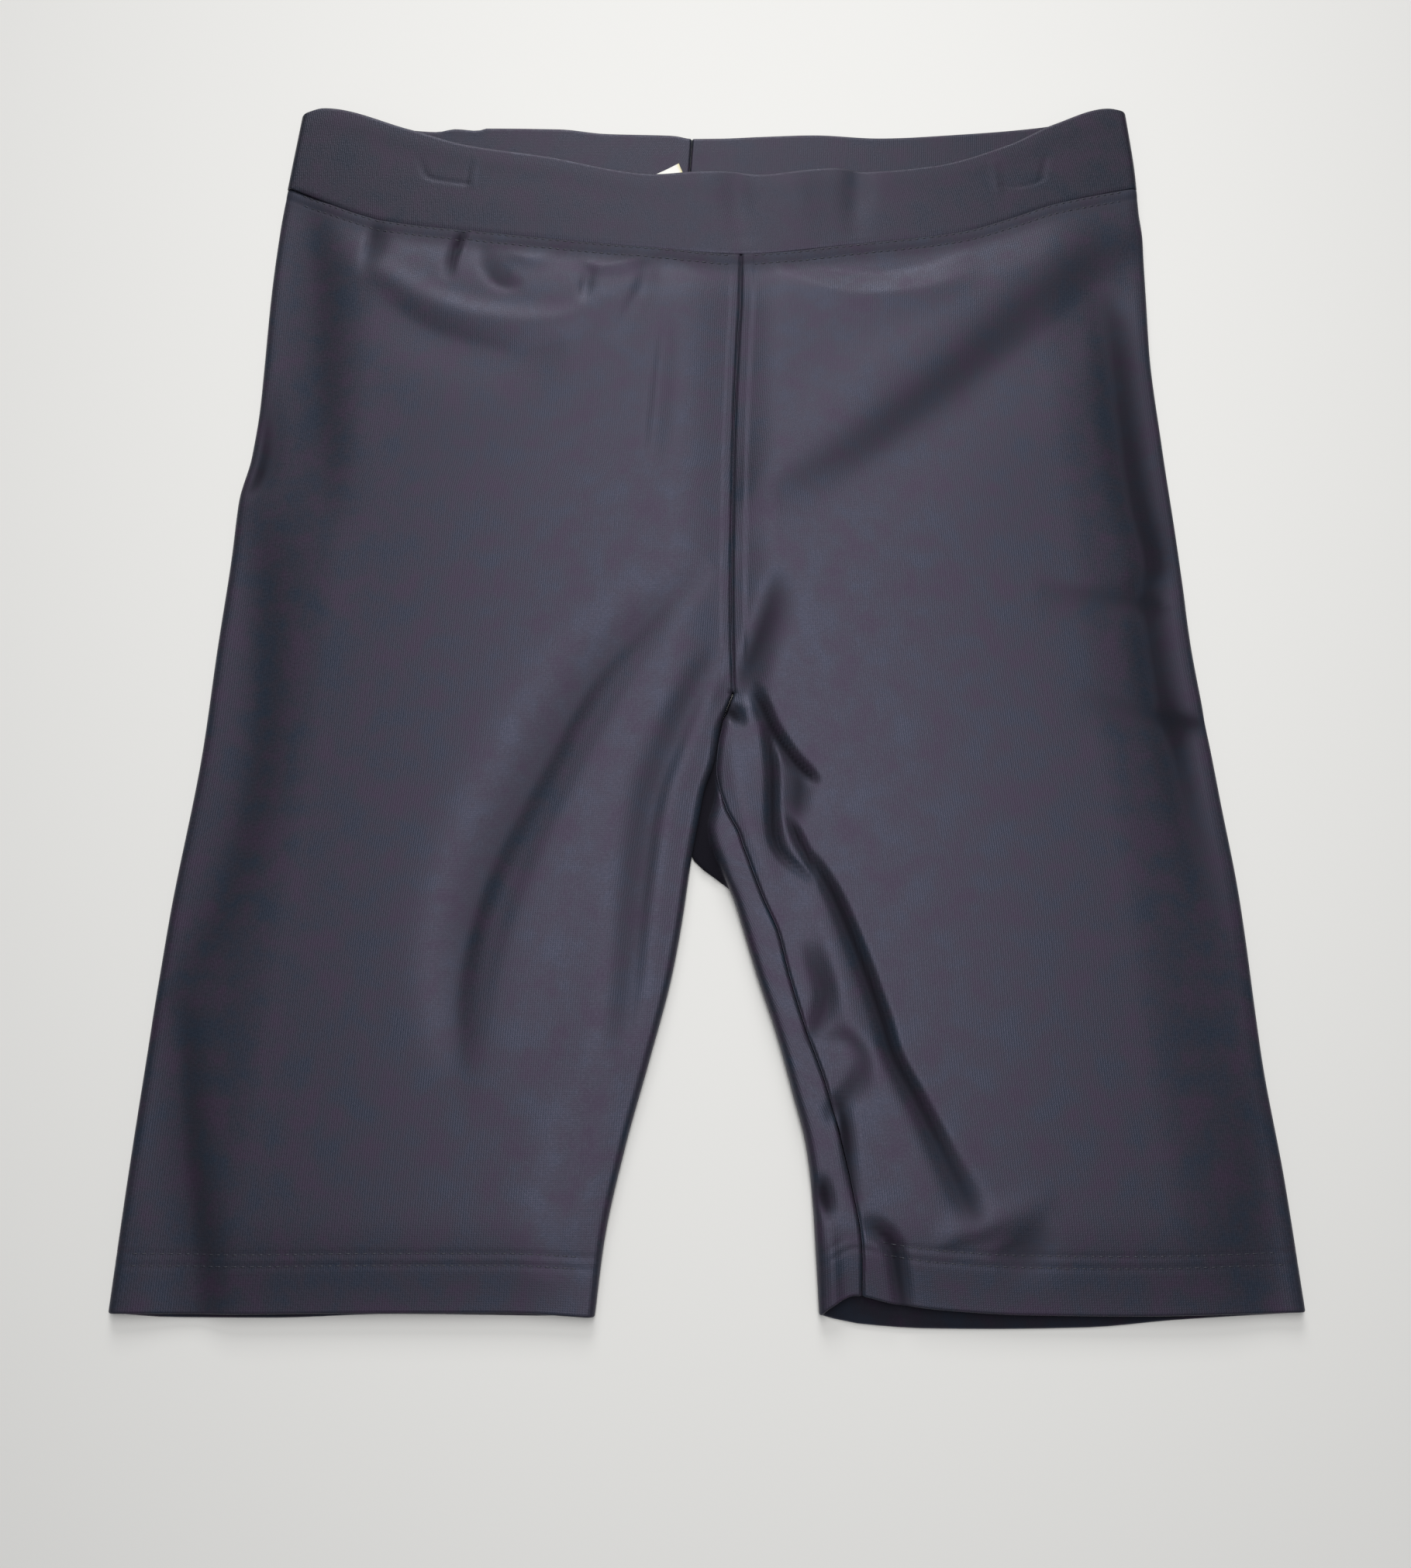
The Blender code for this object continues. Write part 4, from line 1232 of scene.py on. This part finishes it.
    def skeleton(self) -> dict[str, np.ndarray]:
        """The grid before its heights.

        Returns:
            Arrays of rows by columns: x, share (0 on the floor, 1 on the front), level (the x whose height
            counts), y, first and last (the distances from the sewn edges) and along (the distance round the
            leg).
        """
        out = self.side.value
        names = ("x", "share", "level", "y", "first", "last", "along")
        found: dict[str, list[np.ndarray]] = {name: [] for name in names}
        for y in self.rows():
            path, marks, trim = self.section(y)
            whole = path_length(path)[-1]
            distances = self.columns(marks, whole, trim)
            x, height = points_at(path, distances).T
            side = float(self.side_fold.at(y)) - out * self.fold_radius
            below = self.inner_fold.at(y) + out * self.inner_radius(y)
            inner = float(CENTRE_FRONT.at(y) if y >= CROTCH_Y else below)
            found["x"].append(x)
            found["share"].append(height / self.nominal_height)
            found["level"].append(np.clip(x, min(side, inner), max(side, inner)))
            found["y"].append(np.full(len(x), y))
            found["first"].append(distances - trim)
            found["last"].append(whole - trim - distances)
            middle = (marks[0] + marks[1]) / 2
            found["along"].append(distances - middle)
        return {name: np.array(rows) for name, rows in found.items()}

    def curved_ends(self, x: np.ndarray, share: np.ndarray, y: np.ndarray) -> np.ndarray:
        """The points' y once the waist seam and the hem have their curves.

        Args:
            x: The points' x.
            share: 0 on the floor, 1 on the front.
            y: Their rows' places down the leg.

        Returns:
            Places of the same shape.
        """
        waist_fade = np.maximum(0.0, 1 - (SIDE_WAIST_Y - y) / self.waist_curve_reach) ** 2
        hem_fade = np.maximum(0.0, 1 - (y - HEM_Y) / self.hem_curve_reach) ** 2
        waist = share * FRONT_WAIST_SEAM.at(x) + (1 - share) * BACK_WAIST_SEAM.at(x)
        hem = share * self.front_hem.at(x) + (1 - share) * self.back_hem.at(x)
        return y + waist_fade * (waist - self.seam_gap / 2 - SIDE_WAIST_Y) + hem_fade * (hem - HEM_Y)

    def front_seam_at(self, y: float) -> float:
        """How far the inseam lies from the inner fold on the front, 0 where it lies under."""
        return float(self.inseam_roll.at(y)) if self.inseam_on_front else 0.0

    def to_waist(self, x: np.ndarray, y: np.ndarray) -> np.ndarray:
        """How far below the front waist seam a place lies."""
        return FRONT_WAIST_SEAM.at(x) - y

    def to_hem(self, x: np.ndarray, y: np.ndarray) -> np.ndarray:
        """How far above the front hem's edge a place lies."""
        return y - self.front_hem.at(x)

    def stitched(self, x: np.ndarray, y: np.ndarray) -> np.ndarray:
        """How stitching changes the front cloth's height."""
        return self.pull.lift(self.to_waist(x, y), self.to_hem(x, y))

    def front_surface(self, x: np.ndarray, y: np.ndarray) -> np.ndarray:
        """The front cloth's finished height, for what is sewn on it."""
        return self.relief.height(x, y) + self.stitched(x, y)

    def build(self, material: bpy.types.Material) -> bpy.types.Object:
        """The leg's shell.

        Args:
            material: Its finish.

        Returns:
            The piece, which stands for the leg's solid.
        """
        s = self.skeleton()
        y = self.curved_ends(s["x"], s["share"], s["y"])
        height = self.relief.height(s["level"], y)
        smooth = np.stack([s["x"], y, s["share"] * height], axis=2)
        normals = grid_normals(smooth) * self.side.value
        if normals[len(normals) // 4, self.back_columns + self.side_columns + self.front_columns // 2, 2] < 0:
            normals = -normals
        on_front = smooth_step((s["share"] - self.front_share) / self.front_share_fade)
        lift = on_front * self.stitched(s["x"], y)
        rise = smooth_step((y - CROTCH_Y) / self.allowance_fade)
        lift = lift + self.first_edge.lift(s["first"], rise) * self.may_sink(s["share"])
        lift = lift + self.last_edge.lift(s["last"], rise) * self.may_sink(s["share"])
        outer = smooth + normals * lift[:, :, None]
        outer[:, :, 2] = np.maximum(outer[:, :, 2], 0.0)
        thick = self.wall + (self.hem_wall - self.wall) * smooth_step(
            (self.hem_height - self.to_hem(s["x"], y)) / self.hem_step + 0.5
        )
        inner = smooth - normals * thick[:, :, None]
        shell = Shell(outer, inner, self.rim_rows)
        down = SIDE_WAIST_Y - s["y"]
        places = np.stack([s["along"], down], axis=2)
        flat = shell.over(places, places)
        # Painted shade: the web's upper face fully dark, the front below the waist seam a little, the creases
        # by their folds, the inside by inside_shade
        web = np.array([self.web_reach(float(place)) for place in s["y"][:, 0]])[:, None]
        under_edge = smooth_step(web / self.web_fade)
        under_edge = under_edge * smooth_step((self.web_top - s["share"]) / self.web_top_fade)
        under_band = (self.waist_shade_reach - self.to_waist(s["x"], y)) / self.waist_shade_fade
        front_shade = self.relief.shade(s["x"], y) + self.waist_shade * smooth_step(under_band)
        shade = np.maximum(on_front * front_shade, self.web_shade * under_edge)
        dark = shell.over(shade, np.full(shade.shape, self.inside_shade))
        piece = make_mesh(
            f"{self.name}_cloth", shell.grid.reshape(-1, 3), shell.faces(), material, flat, dark
        )
        self.cut = self.flat_cut(s)
        return piece

    def may_sink(self, share: np.ndarray) -> np.ndarray:
        """1 where a sewn edge may dip: the underside keeps flat, but for a shallow groove."""
        return np.where(share > self.floor_share, 1.0, self.floor_sink)

    def flat_cut(self, s: dict[str, np.ndarray]) -> tuple[float, float, float]:
        """The cut of the leg before it was folded: its greatest width, its length and its area.

        Args:
            s: The grid from skeleton.

        Returns:
            Width and length in metres, with the hem's turning, and area in square metres.
        """
        widths = s["along"][:, -1] - s["along"][:, 0]
        places = s["y"][:, 0]
        waist = s["x"][0]
        dip = SIDE_WAIST_Y - float(np.mean(self.curved_ends(waist, s["share"][0], s["y"][0])))
        length = SIDE_WAIST_Y - HEM_Y + self.hem_height
        area = float(-np.sum((widths[1:] + widths[:-1]) / 2 * np.diff(places)))
        area += self.hem_height * widths[-1] - dip * widths[0] / 2
        metres = METRES_PER_MM
        return float(widths.max()) * metres, length * metres, area * metres**2


def path_length(points: np.ndarray) -> np.ndarray:
    """How far along a path each of its points lies."""
    return np.concatenate([[0], np.cumsum(np.hypot(*np.diff(points, axis=0).T))])


def points_at(points: np.ndarray, distances: np.ndarray) -> np.ndarray:
    """Points of a path at these distances from its start."""
    measured = path_length(points)
    return np.column_stack([np.interp(distances, measured, points[:, k]) for k in (0, 1)])


def opened_at(loop: np.ndarray, distance: float) -> np.ndarray:
    """A closed loop as a path that starts and ends elsewhere on it.

    Args:
        loop: Its points.
        distance: How far along it the path starts.

    Returns:
        The path's points.
    """
    measured = path_length(loop)
    place = points_at(loop, np.array([distance]))
    return np.concatenate([place, loop[measured > distance], loop[1:][measured[1:] < distance], place])


def zone(first: float, last: float, count: int) -> np.ndarray:
    """Evenly spread distances from first, with last left out."""
    return first + (last - first) * np.arange(count) / count


def widening(count: int, growth: float) -> np.ndarray:
    """Numbers from 0 to 1 whose steps widen evenly; the last step is (1 + 2 growth) times the first."""
    t = np.linspace(0, 1, count)
    return (t + growth * t**2) / (1 + growth)


def spread(near: np.ndarray, last: float, count: int, growth: float = 0.0) -> np.ndarray:
    """Distances that start close together at a sewn edge and then run on, ever wider apart.

    Args:
        near: Those at the edge.
        last: Where they run to, which is left out.
        count: How many, in all.
        growth: How much the later steps widen.

    Returns:
        The distances.
    """
    rest = count - len(near)
    onward = widening(rest + 2, growth)[1:-1]
    return np.concatenate([near, near[-1] + (last - near[-1]) * onward])


@dataclass(frozen=True)
class Stitching:
    """Sizes of machine stitches, and the mesh of one row of them."""

    pitch: float = 3.0
    length: float = 2.2
    radius: float = 0.17
    proud: float = 0.1
    sunk: float = 0.3
    sides: int = 6
    rings: int = 7
    place_wander: float = 0.04
    length_range: tuple[float, float] = (0.92, 1.05)
    bow_power: float = 0.5

    def row(self, line: np.ndarray, wander: np.random.Generator) -> tuple[np.ndarray, list[tuple[int, ...]]]:
        """Stitches along a line on the cloth.

        Args:
            line: Points of the line, in millimetres.
            wander: Gives each stitch its small unevenness.

        Returns:
            Points and faces of all its stitches.
        """
        measured = np.concatenate([[0], np.cumsum(np.linalg.norm(np.diff(line, axis=0), axis=1))])
        points, faces = [], []
        turn = np.linspace(0, 2 * math.pi, self.sides, endpoint=False)
        for k in range(int(measured[-1] / self.pitch)):
            middle = (k + 0.5 + wander.uniform(-self.place_wander, self.place_wander)) * self.pitch
            half = self.length / 2 * wander.uniform(*self.length_range)
            distances = np.linspace(middle - half, middle + half, self.rings)
            spine = np.column_stack([np.interp(distances, measured, line[:, axis]) for axis in range(3)])
            bow = np.sin(np.linspace(0, math.pi, self.rings)) ** self.bow_power
            spine[:, 2] += -self.sunk + (self.sunk + self.proud) * bow
            along = np.gradient(spine, axis=0)
            along /= np.linalg.norm(along, axis=1)[:, None]
            beside = np.cross(along, (0, 0, 1))
            beside /= np.linalg.norm(beside, axis=1)[:, None]
            above = np.cross(beside, along)
            base = len(points) * self.sides * self.rings
            ring = [
                spine[i]
                + self.radius * (np.cos(turn)[:, None] * beside[i] + np.sin(turn)[:, None] * above[i])
                for i in range(self.rings)
            ]
            points.append(np.concatenate(ring))
            for i in range(self.rings - 1):
                for j in range(self.sides):
                    a, b = base + i * self.sides + j, base + i * self.sides + (j + 1) % self.sides
                    faces.append((a, a + self.sides, b + self.sides, b))
            faces.append(tuple(base + j for j in range(self.sides)))
            faces.append(tuple(base + (self.rings - 1) * self.sides + j for j in reversed(range(self.sides))))
        return np.concatenate(points), faces


def joined(rows: list[tuple[np.ndarray, list[tuple[int, ...]]]]) -> tuple[np.ndarray, list[tuple[int, ...]]]:
    """Several meshes as one.

    Args:
        rows: Points and faces of each.

    Returns:
        Points and faces of all.
    """
    points, faces, base = [], [], 0
    for row_points, row_faces in rows:
        points.append(row_points)
        faces.extend(tuple(base + i for i in face) for face in row_faces)
        base += len(row_points)
    return np.concatenate(points), faces


@dataclass
class Waistband:
    """A wide doubled band, folded at the top, sewn to the legs below and to itself at the centre back."""

    name: str = "waistband"
    wall: float = 1.5
    height: float = 5.0
    seam_gap: float = 0.1
    rim_rows: int = 5
    rows: int = 46
    front_columns: int = 230
    back_columns: int = 70
    side_columns: int = 12
    folds: tuple[Fold, ...] = field(default_factory=lambda: BAND_FOLDS)
    tunnel: float = 0.1
    tunnel_reach: float = 5.0
    seam_dip: float = 0.3
    seam_dip_width: float = 0.8
    least: float = 3.6
    least_sharpness: float = 4.0
    seam_mark: float = 0.7
    seam_mark_width: float = 0.4
    seam_mark_inside: float = 0.8
    seam_thinning: float = 0.35
    seam_levels: tuple[float, ...] = (0, 0.012, 0.026)
    first_level: float = 0.045
    edge_steps: tuple[float, ...] = (0.0, 0.25, 0.5, 0.8, 1.2, 1.8, 2.6, 3.6, 4.4, 5.0, 5.6, 6.4)

    def level_y(self, level: np.ndarray | float) -> np.ndarray:
        """The nominal place up the band of a level, which is 0 at the seam and 1 at the top."""
        return SIDE_WAIST_Y + level * (TOP_Y - SIDE_WAIST_Y)

    def section(self, level: float) -> tuple[np.ndarray, np.ndarray, np.ndarray]:
        """The band's loop at one level, from the centre back past the left side and back again.

        Args:
            level: From 0 at the seam to 1 at the top.

        Returns:
            x, share (0 on the floor, 1 on the front) and the distance round the loop from the centre back.
        """
        y = float(self.level_y(level))
        radius = self.height / 2
        centre = float(CENTRE_BACK.at(y))
        left = float(LEFT_SIDE_FOLD.at(y)) - radius
        right = float(RIGHT_SIDE_FOLD.at(y)) + radius
        angles = np.radians(np.linspace(-90, 90, self.side_columns + 2)[1:-1])
        near = np.array(self.edge_steps)
        even = self.back_columns - len(near)
        first, last = centre + self.seam_gap / 2, centre - self.seam_gap / 2
        to_left = np.concatenate([first + near, np.linspace(first + near[-1], left, even + 1)[1:]])
        to_right = np.concatenate([last - near, np.linspace(last - near[-1], right, even + 1)[1:]])
        x = np.concatenate([
            to_left, left + radius * np.cos(angles), np.linspace(left, right, self.front_columns),
            right - radius * np.cos(angles), to_right[::-1],
        ])
        rise = (1 + np.sin(angles)) / 2
        share = np.concatenate([
            np.zeros(self.back_columns), rise, np.ones(self.front_columns), rise[::-1],
            np.zeros(self.back_columns),
        ])
        path = np.column_stack([x, share * self.height])
        return x, share, path_length(path)

    def edges(self, x: np.ndarray, share: np.ndarray) -> tuple[np.ndarray, np.ndarray]:
        """Where the band's seam and its folded top lie.

        Args:
            x: Places across the garment.
            share: 0 on the floor, 1 on the front.

        Returns:
            The y of the seam and the y of the top.
        """
        seam = share * FRONT_WAIST_SEAM.at(x) + (1 - share) * BACK_WAIST_SEAM.at(x) + self.seam_gap / 2
        top = share * FRONT_TOP_EDGE.at(x) + (1 - share) * BACK_TOP_EDGE.at(x)
        return seam, top

    def front_surface(self, x: np.ndarray, y: np.ndarray) -> np.ndarray:
        """The height of the band's front face over the floor.

        Args:
            x: Places across the garment.
            y: Places along it, of the same shape.

        Returns:
            The heights.
        """
        from_seam = y - FRONT_WAIST_SEAM.at(x)
        from_top = FRONT_TOP_EDGE.at(x) - y
        height = self.height + self.tunnel * bell(from_top - self.tunnel_reach, self.tunnel_reach)
        for fold in self.folds:
            height = height + fold.lift_and_shade(x, y)[0]
        proud = np.logaddexp(0.0, (height - self.least) * self.least_sharpness)
        height = self.least + proud / self.least_sharpness
        return height - self.seam_dip * bell(from_seam, self.seam_dip_width)

    def build(self, material: bpy.types.Material) -> bpy.types.Object:
        """The band's shell.

        Args:
            material: Its finish.

        Returns:
            The piece, which stands for the band's solid.
        """
        even_levels = np.linspace(self.first_level, 1, self.rows - len(self.seam_levels))
        levels = np.concatenate([self.seam_levels, even_levels])
        sections = [self.section(float(level)) for level in levels]
        x = np.array([s[0] for s in sections])
        share = np.array([s[1] for s in sections])
        along = np.array([s[2] for s in sections])
        seam, top = self.edges(x, share)
        y = seam + levels[:, None] * (top - self.wall / 2 - seam)
        height = self.front_surface(np.clip(x, x.min() + self.height, x.max() - self.height), y)
        outer = np.stack([x, y, share * height], axis=2)
        smooth = np.stack([x, y, share * self.height], axis=2)
        normals = grid_normals(smooth)
        middle = self.back_columns + self.side_columns + self.front_columns // 2
        if normals[len(levels) // 2, middle, 2] < 0:
            normals = -normals
        from_end = np.minimum(along, along[:, -1:] - along)
        mark = self.seam_mark * bell(from_end, self.seam_mark_width) * (1 - share)
        thinning = self.seam_thinning * bell(y - seam, self.seam_dip_width)[:, :, None]
        inner = outer - normals * (self.wall - mark[:, :, None] * self.seam_mark_inside - thinning)
        shell = Shell(outer, inner, self.rim_rows)
        places = np.stack([along, y], axis=2)
        flat = shell.over(places, places)
        piece = make_mesh(f"{self.name}_cloth", shell.grid.reshape(-1, 3), shell.faces(), material, flat)
        length = float(along[:, -1].mean()) * METRES_PER_MM
        strip = float((top - seam).mean()) * METRES_PER_MM
        self.cut = (length, strip, length * strip)
        return piece


BAND_FOLDS = (
    # Soft upright dents in the middle of the front
    Fold(((12, 212, -0.5, 6, 6), (13, 196, -0.8, 6, 7), (15, 182, -0.4, 6, 6))),
    Fold(((63, 214, -0.6, 5, 5), (62, 198, -0.8, 5, 6), (61, 184, -0.3, 5, 5))),
    Fold(((36, 210, 0.4, 8, 8), (37, 196, 0.5, 9, 9), (38, 182, 0.2, 8, 8))),
    # What hanger clips pressed into the cloth: a U with a raised rim towards the centre
    Fold((
        (-119, 217, -0.06, 0.9, 0.9), (-117, 211, -0.21, 0.9, 0.9), (-114.6, 207.4, -0.21, 0.9, 0.9),
        (-106, 205.6, -0.18, 0.9, 0.9), (-99, 204.5, -0.21, 0.9, 0.9),
    ), path_step=1.0),
    Fold((
        (-97.2, 203.4, 0.18, 0.8, 0.8), (-96.4, 209, 0.30, 0.8, 0.8), (-95.4, 215.4, 0.12, 0.8, 0.8),
    ), path_step=1.0),
    Fold((
        (-99, 204.8, -0.18, 0.8, 0.8), (-98.2, 210, -0.18, 0.8, 0.8), (-97.4, 216, -0.06, 0.8, 0.8),
    ), path_step=1.0),
    Fold((
        (119.1, 215.1, 0.12, 0.8, 0.8), (119.4, 208, 0.24, 0.8, 0.8), (120, 201.2, 0.18, 0.8, 0.8),
    ), path_step=1.0),
    Fold((
        (121.8, 204, -0.12, 0.9, 0.9), (128, 203.2, -0.18, 0.9, 0.9), (134, 204.4, -0.12, 0.9, 0.9),
        (138.4, 206.6, -0.21, 0.9, 0.9), (139.2, 211, -0.24, 0.9, 0.9), (140.6, 217, -0.12, 0.9, 0.9),
    ), path_step=1.0),
)


@dataclass
class Label:
    """A bare satin label, sewn in at the centre back, whose corner shows over the front band.

    Its free end curls in a wave of so many turns across and down it, which keeps at least the curl's base
    share.
    """

    name: str = "label"
    corner: tuple[float, float] = (-11.6, 215.7)
    width: float = 20.0
    length: float = 24.0
    across_angle: float = 208.4
    down_angle: float = 291.0
    lowest: float = 2.15
    wall: float = 0.28
    curl: float = 0.35
    curl_base: float = 0.35
    curl_turns: tuple[float, float] = (0.8, 0.25)
    rim_rows: int = 2
    columns: int = 40
    rows: int = 48

    def build(self, material: bpy.types.Material) -> bpy.types.Object:
        """The label's sheet.

        Args:
            material: Its finish.

        Returns:
            The piece, which stands for the label's solid.
        """
        u, v = np.meshgrid(np.linspace(0, 1, self.columns), np.linspace(0, 1, self.rows))
        across, down = math.radians(self.across_angle), math.radians(self.down_angle)
        x = self.corner[0] + u * self.width * math.cos(across) + v * self.length * math.cos(down)
        y = self.corner[1] + u * self.width * math.sin(across) + v * self.length * math.sin(down)
        turn = 2 * math.pi * (self.curl_turns[0] * u + self.curl_turns[1] * v)
        wave = self.curl_base + (1 - self.curl_base) * np.cos(turn) ** 2
        lower = np.stack([x, y, self.lowest + self.curl * wave * (1 - v) ** 2], axis=2)
        upper = lower + np.array([0, 0, self.wall])
        shell = Shell(upper, lower, self.rim_rows)
        places = np.stack([u * self.width, v * self.length], axis=2)
        flat = shell.over(places, places)
        return make_mesh(f"{self.name}_satin", shell.grid.reshape(-1, 3), shell.faces(), material, flat)


@dataclass
class Sewing:
    """The rows of stitches that show: along the waist seam, and across the front of each hem."""

    legs: tuple[Leg, ...]
    stitching: Stitching = Stitching()
    waist_rows: tuple[float, ...] = (1.0, 5.0)
    side_margin: float = 6.0
    centre_margin: float = 1.6
    step: float = 1.5
    seed: int = 7

    def line(self, leg: Leg, start: float, end: float, place: Line, away: float) -> np.ndarray:
        """A line on the leg's front cloth at a distance from an edge.

        Args:
            leg: The leg.
            start: The x where it starts.
            end: The x where it ends.
            place: The edge it follows.
            away: How far along Y it lies from the edge.

        Returns:
            Its points.
        """
        x = np.linspace(start, end, max(2, int(abs(end - start) / self.step)))
        y = place.at(x) + away
        return np.column_stack([x, y, leg.front_surface(x, y)])

    def build(self, material: bpy.types.Material) -> list[bpy.types.Object]:
        """The stitches of each leg, as one joined mesh for its waist and one for its hem.

        Args:
            material: The thread's finish.

        Returns:
            The pieces.
        """
        wander = np.random.default_rng(self.seed)
        made = []
        for leg in self.legs:
            out = leg.side.value
            centre = float(CENTRE_FRONT.at(SIDE_WAIST_Y)) + out * self.centre_margin
            inner = float(leg.inner_fold.at(HEM_Y)) + out * (self.side_margin + leg.front_seam_at(HEM_Y))
            below_waist = tuple(-away for away in self.waist_rows)
            for place, level, start, edge, rows in (
                ("waist", SIDE_WAIST_Y, centre, FRONT_WAIST_SEAM, below_waist),
                ("hem", HEM_Y, inner, leg.front_hem, leg.pull.hem_rows),
            ):
                end = float(leg.side_fold.at(level)) - out * self.side_margin
                sewn = [self.stitching.row(self.line(leg, start, end, edge, away), wander) for away in rows]
                made.append(make_mesh(f"{leg.name}_{place}_stitches", *joined(sewn), material))
        return made


@dataclass(frozen=True)
class Softbox:
    """A soft light, aimed at the floor under the shorts."""

    name: str
    place: tuple[float, float, float]
    aim: tuple[float, float, float]
    width: float
    length: float
    power: float


@dataclass(frozen=True)
class Studio:
    """The pale floor, the soft lights and the camera, where the photograph's camera stood."""

    floor_half: float = 3.0
    floor_drop: float = 0.0001
    softboxes: tuple[Softbox, ...] = (
        Softbox("strip", (0.03, 0.06, 0.80), (0.0, 0.0, 0.0), 0.29, 1.05, 5.8),
        Softbox("window", (-0.1, 1.9, 1.05), (0.0, 0.0, 0.0), 1.0, 0.8, 22.0),
    )
    sky: tuple[float, float, float, float] = (0.93, 0.96, 1.0, 1.0)
    sky_strength: float = 0.12
    lens: float = 33.83
    sensor: float = 36.0
    camera_place: tuple[float, float, float] = (-0.0005, -0.1766, 0.539)
    camera_aim: tuple[float, float, float] = (-0.0005, -0.0487, 0.0)

    def build(self, paper: bpy.types.Material) -> None:
        """Makes all of it.

        Args:
            paper: The floor's finish.
        """
        scene = bpy.context.scene
        mesh = bpy.data.meshes.new("floor")
        half, z = self.floor_half, -self.floor_drop
        corners = [(-half, -half, z), (half, -half, z), (half, half, z), (-half, half, z)]
        mesh.from_pydata(corners, [], [(0, 1, 2, 3)])
        mesh.materials.append(paper)
        floor = bpy.data.objects.new("floor", mesh)
        scene.collection.objects.link(floor)
        for box in self.softboxes:
            light = bpy.data.lights.new(box.name, "AREA")
            light.shape = "RECTANGLE"
            light.size = box.width
            light.size_y = box.length
            light.energy = box.power
            lamp = bpy.data.objects.new(box.name, light)
            lamp.matrix_world = looking(Vector(box.place), Vector(box.aim))
            scene.collection.objects.link(lamp)
        world = bpy.data.worlds.new("studio")
        world.use_nodes = True
        background = world.node_tree.nodes["Background"]
        background.inputs["Color"].default_value = self.sky
        background.inputs["Strength"].default_value = self.sky_strength
        scene.world = world
        scene.view_settings.view_transform = "Standard"
        camera_data = bpy.data.cameras.new("camera")
        camera_data.lens = self.lens
        camera_data.sensor_width = self.sensor
        camera = bpy.data.objects.new("camera", camera_data)
        camera.matrix_world = looking(Vector(self.camera_place), Vector(self.camera_aim))
        scene.collection.objects.link(camera)
        scene.camera = camera


def looking(place: Vector, aim: Vector) -> Matrix:
    """The matrix of a camera or lamp that looks at a place, with its right hand level along X.

    Args:
        place: Where it stands.
        aim: What it looks at.

    Returns:
        Its world matrix.
    """
    back = (place - aim).normalized()
    right = Vector((0, 1, 0)).cross(back).normalized()
    up = back.cross(right)
    return Matrix((
        (right.x, up.x, back.x, place.x),
        (right.y, up.y, back.y, place.y),
        (right.z, up.z, back.z, place.z),
        (0.0, 0.0, 0.0, 1.0),
    ))


def make_legs() -> tuple[Leg, Leg]:
    """The wearer's right leg, whose inseam is rolled under, and the left one, whose inseam shows.

    Returns:
        The right leg and the left leg.
    """
    right_relief = FrontRelief(RIGHT_LEG_FOLDS, RIGHT_SIDE_FOLD, RIGHT_INNER_FOLD)
    right = Leg(
        "right_leg", Side.RIGHT, RIGHT_SIDE_FOLD, RIGHT_INNER_FOLD, RIGHT_INSEAM_ROLL, False, RIGHT_FRONT_HEM,
        RIGHT_BACK_HEM, right_relief, SewnEdge(), SewnEdge(),
    )
    left_relief = FrontRelief(
        LEFT_LEG_FOLDS, LEFT_SIDE_FOLD, LEFT_INNER_FOLD, inner_fall=24.0, thigh_start=0.72
    )
    # The centre front's allowance is pressed to this leg, so its front edge swells more
    pressed_edge = SewnEdge(swell=0.32, swell_reach=5.0, step=1.4)
    left = Leg(
        "left_leg", Side.LEFT, LEFT_SIDE_FOLD, LEFT_INNER_FOLD, LEFT_INSEAM_ROLL, True, LEFT_FRONT_HEM,
        LEFT_BACK_HEM, left_relief, SewnEdge(), pressed_edge, has_web=True,
    )
    return right, left


def hand_over(piece: bpy.types.Object, node: str | None = None) -> None:
    """Puts a piece on the frame's one body.

    Args:
        piece: The piece.
        node: The node it stands for, if any.
    """
    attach(piece, "root")
    if node:
        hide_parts(node)
    LOG.info("%s: %d faces", piece.name, len(piece.data.polygons))


def main() -> None:
    """Builds every piece in order."""
    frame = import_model()
    LOG.info("frame nodes: %s", sorted(frame["nodes"]))
    leg_knit = TricotKnit("polyamide_elastane_tricot").material()
    # Painted shade: the band's colours are darker copies of the leg cloth's, as the band lies darker in the
    # light
    band_knit = TricotKnit(
        "doubled_polyamide_elastane_tricot", "#1f2027", "#192129", "#251d29", roughness=0.43, gloss=0.42
    ).material()
    thread = TwistedThread().material()
    legs = make_legs()
    for leg in legs:
        piece = leg.build(leg_knit)
        hand_over(piece, leg.name)
        LOG.info("cut %.3f by %.3f m, %.4f m2", *leg.cut)
    band = Waistband()
    piece = band.build(band_knit)
    hand_over(piece, band.name)
    LOG.info("cut %.3f by %.3f m, %.4f m2", *band.cut)
    label = Label()
    piece = label.build(WovenSatin().material())
    hand_over(piece, label.name)
    for piece in Sewing(legs).build(thread):
        hand_over(piece)
    Studio().build(StudioPaper().material())


if __name__ == "__main__":
    main()
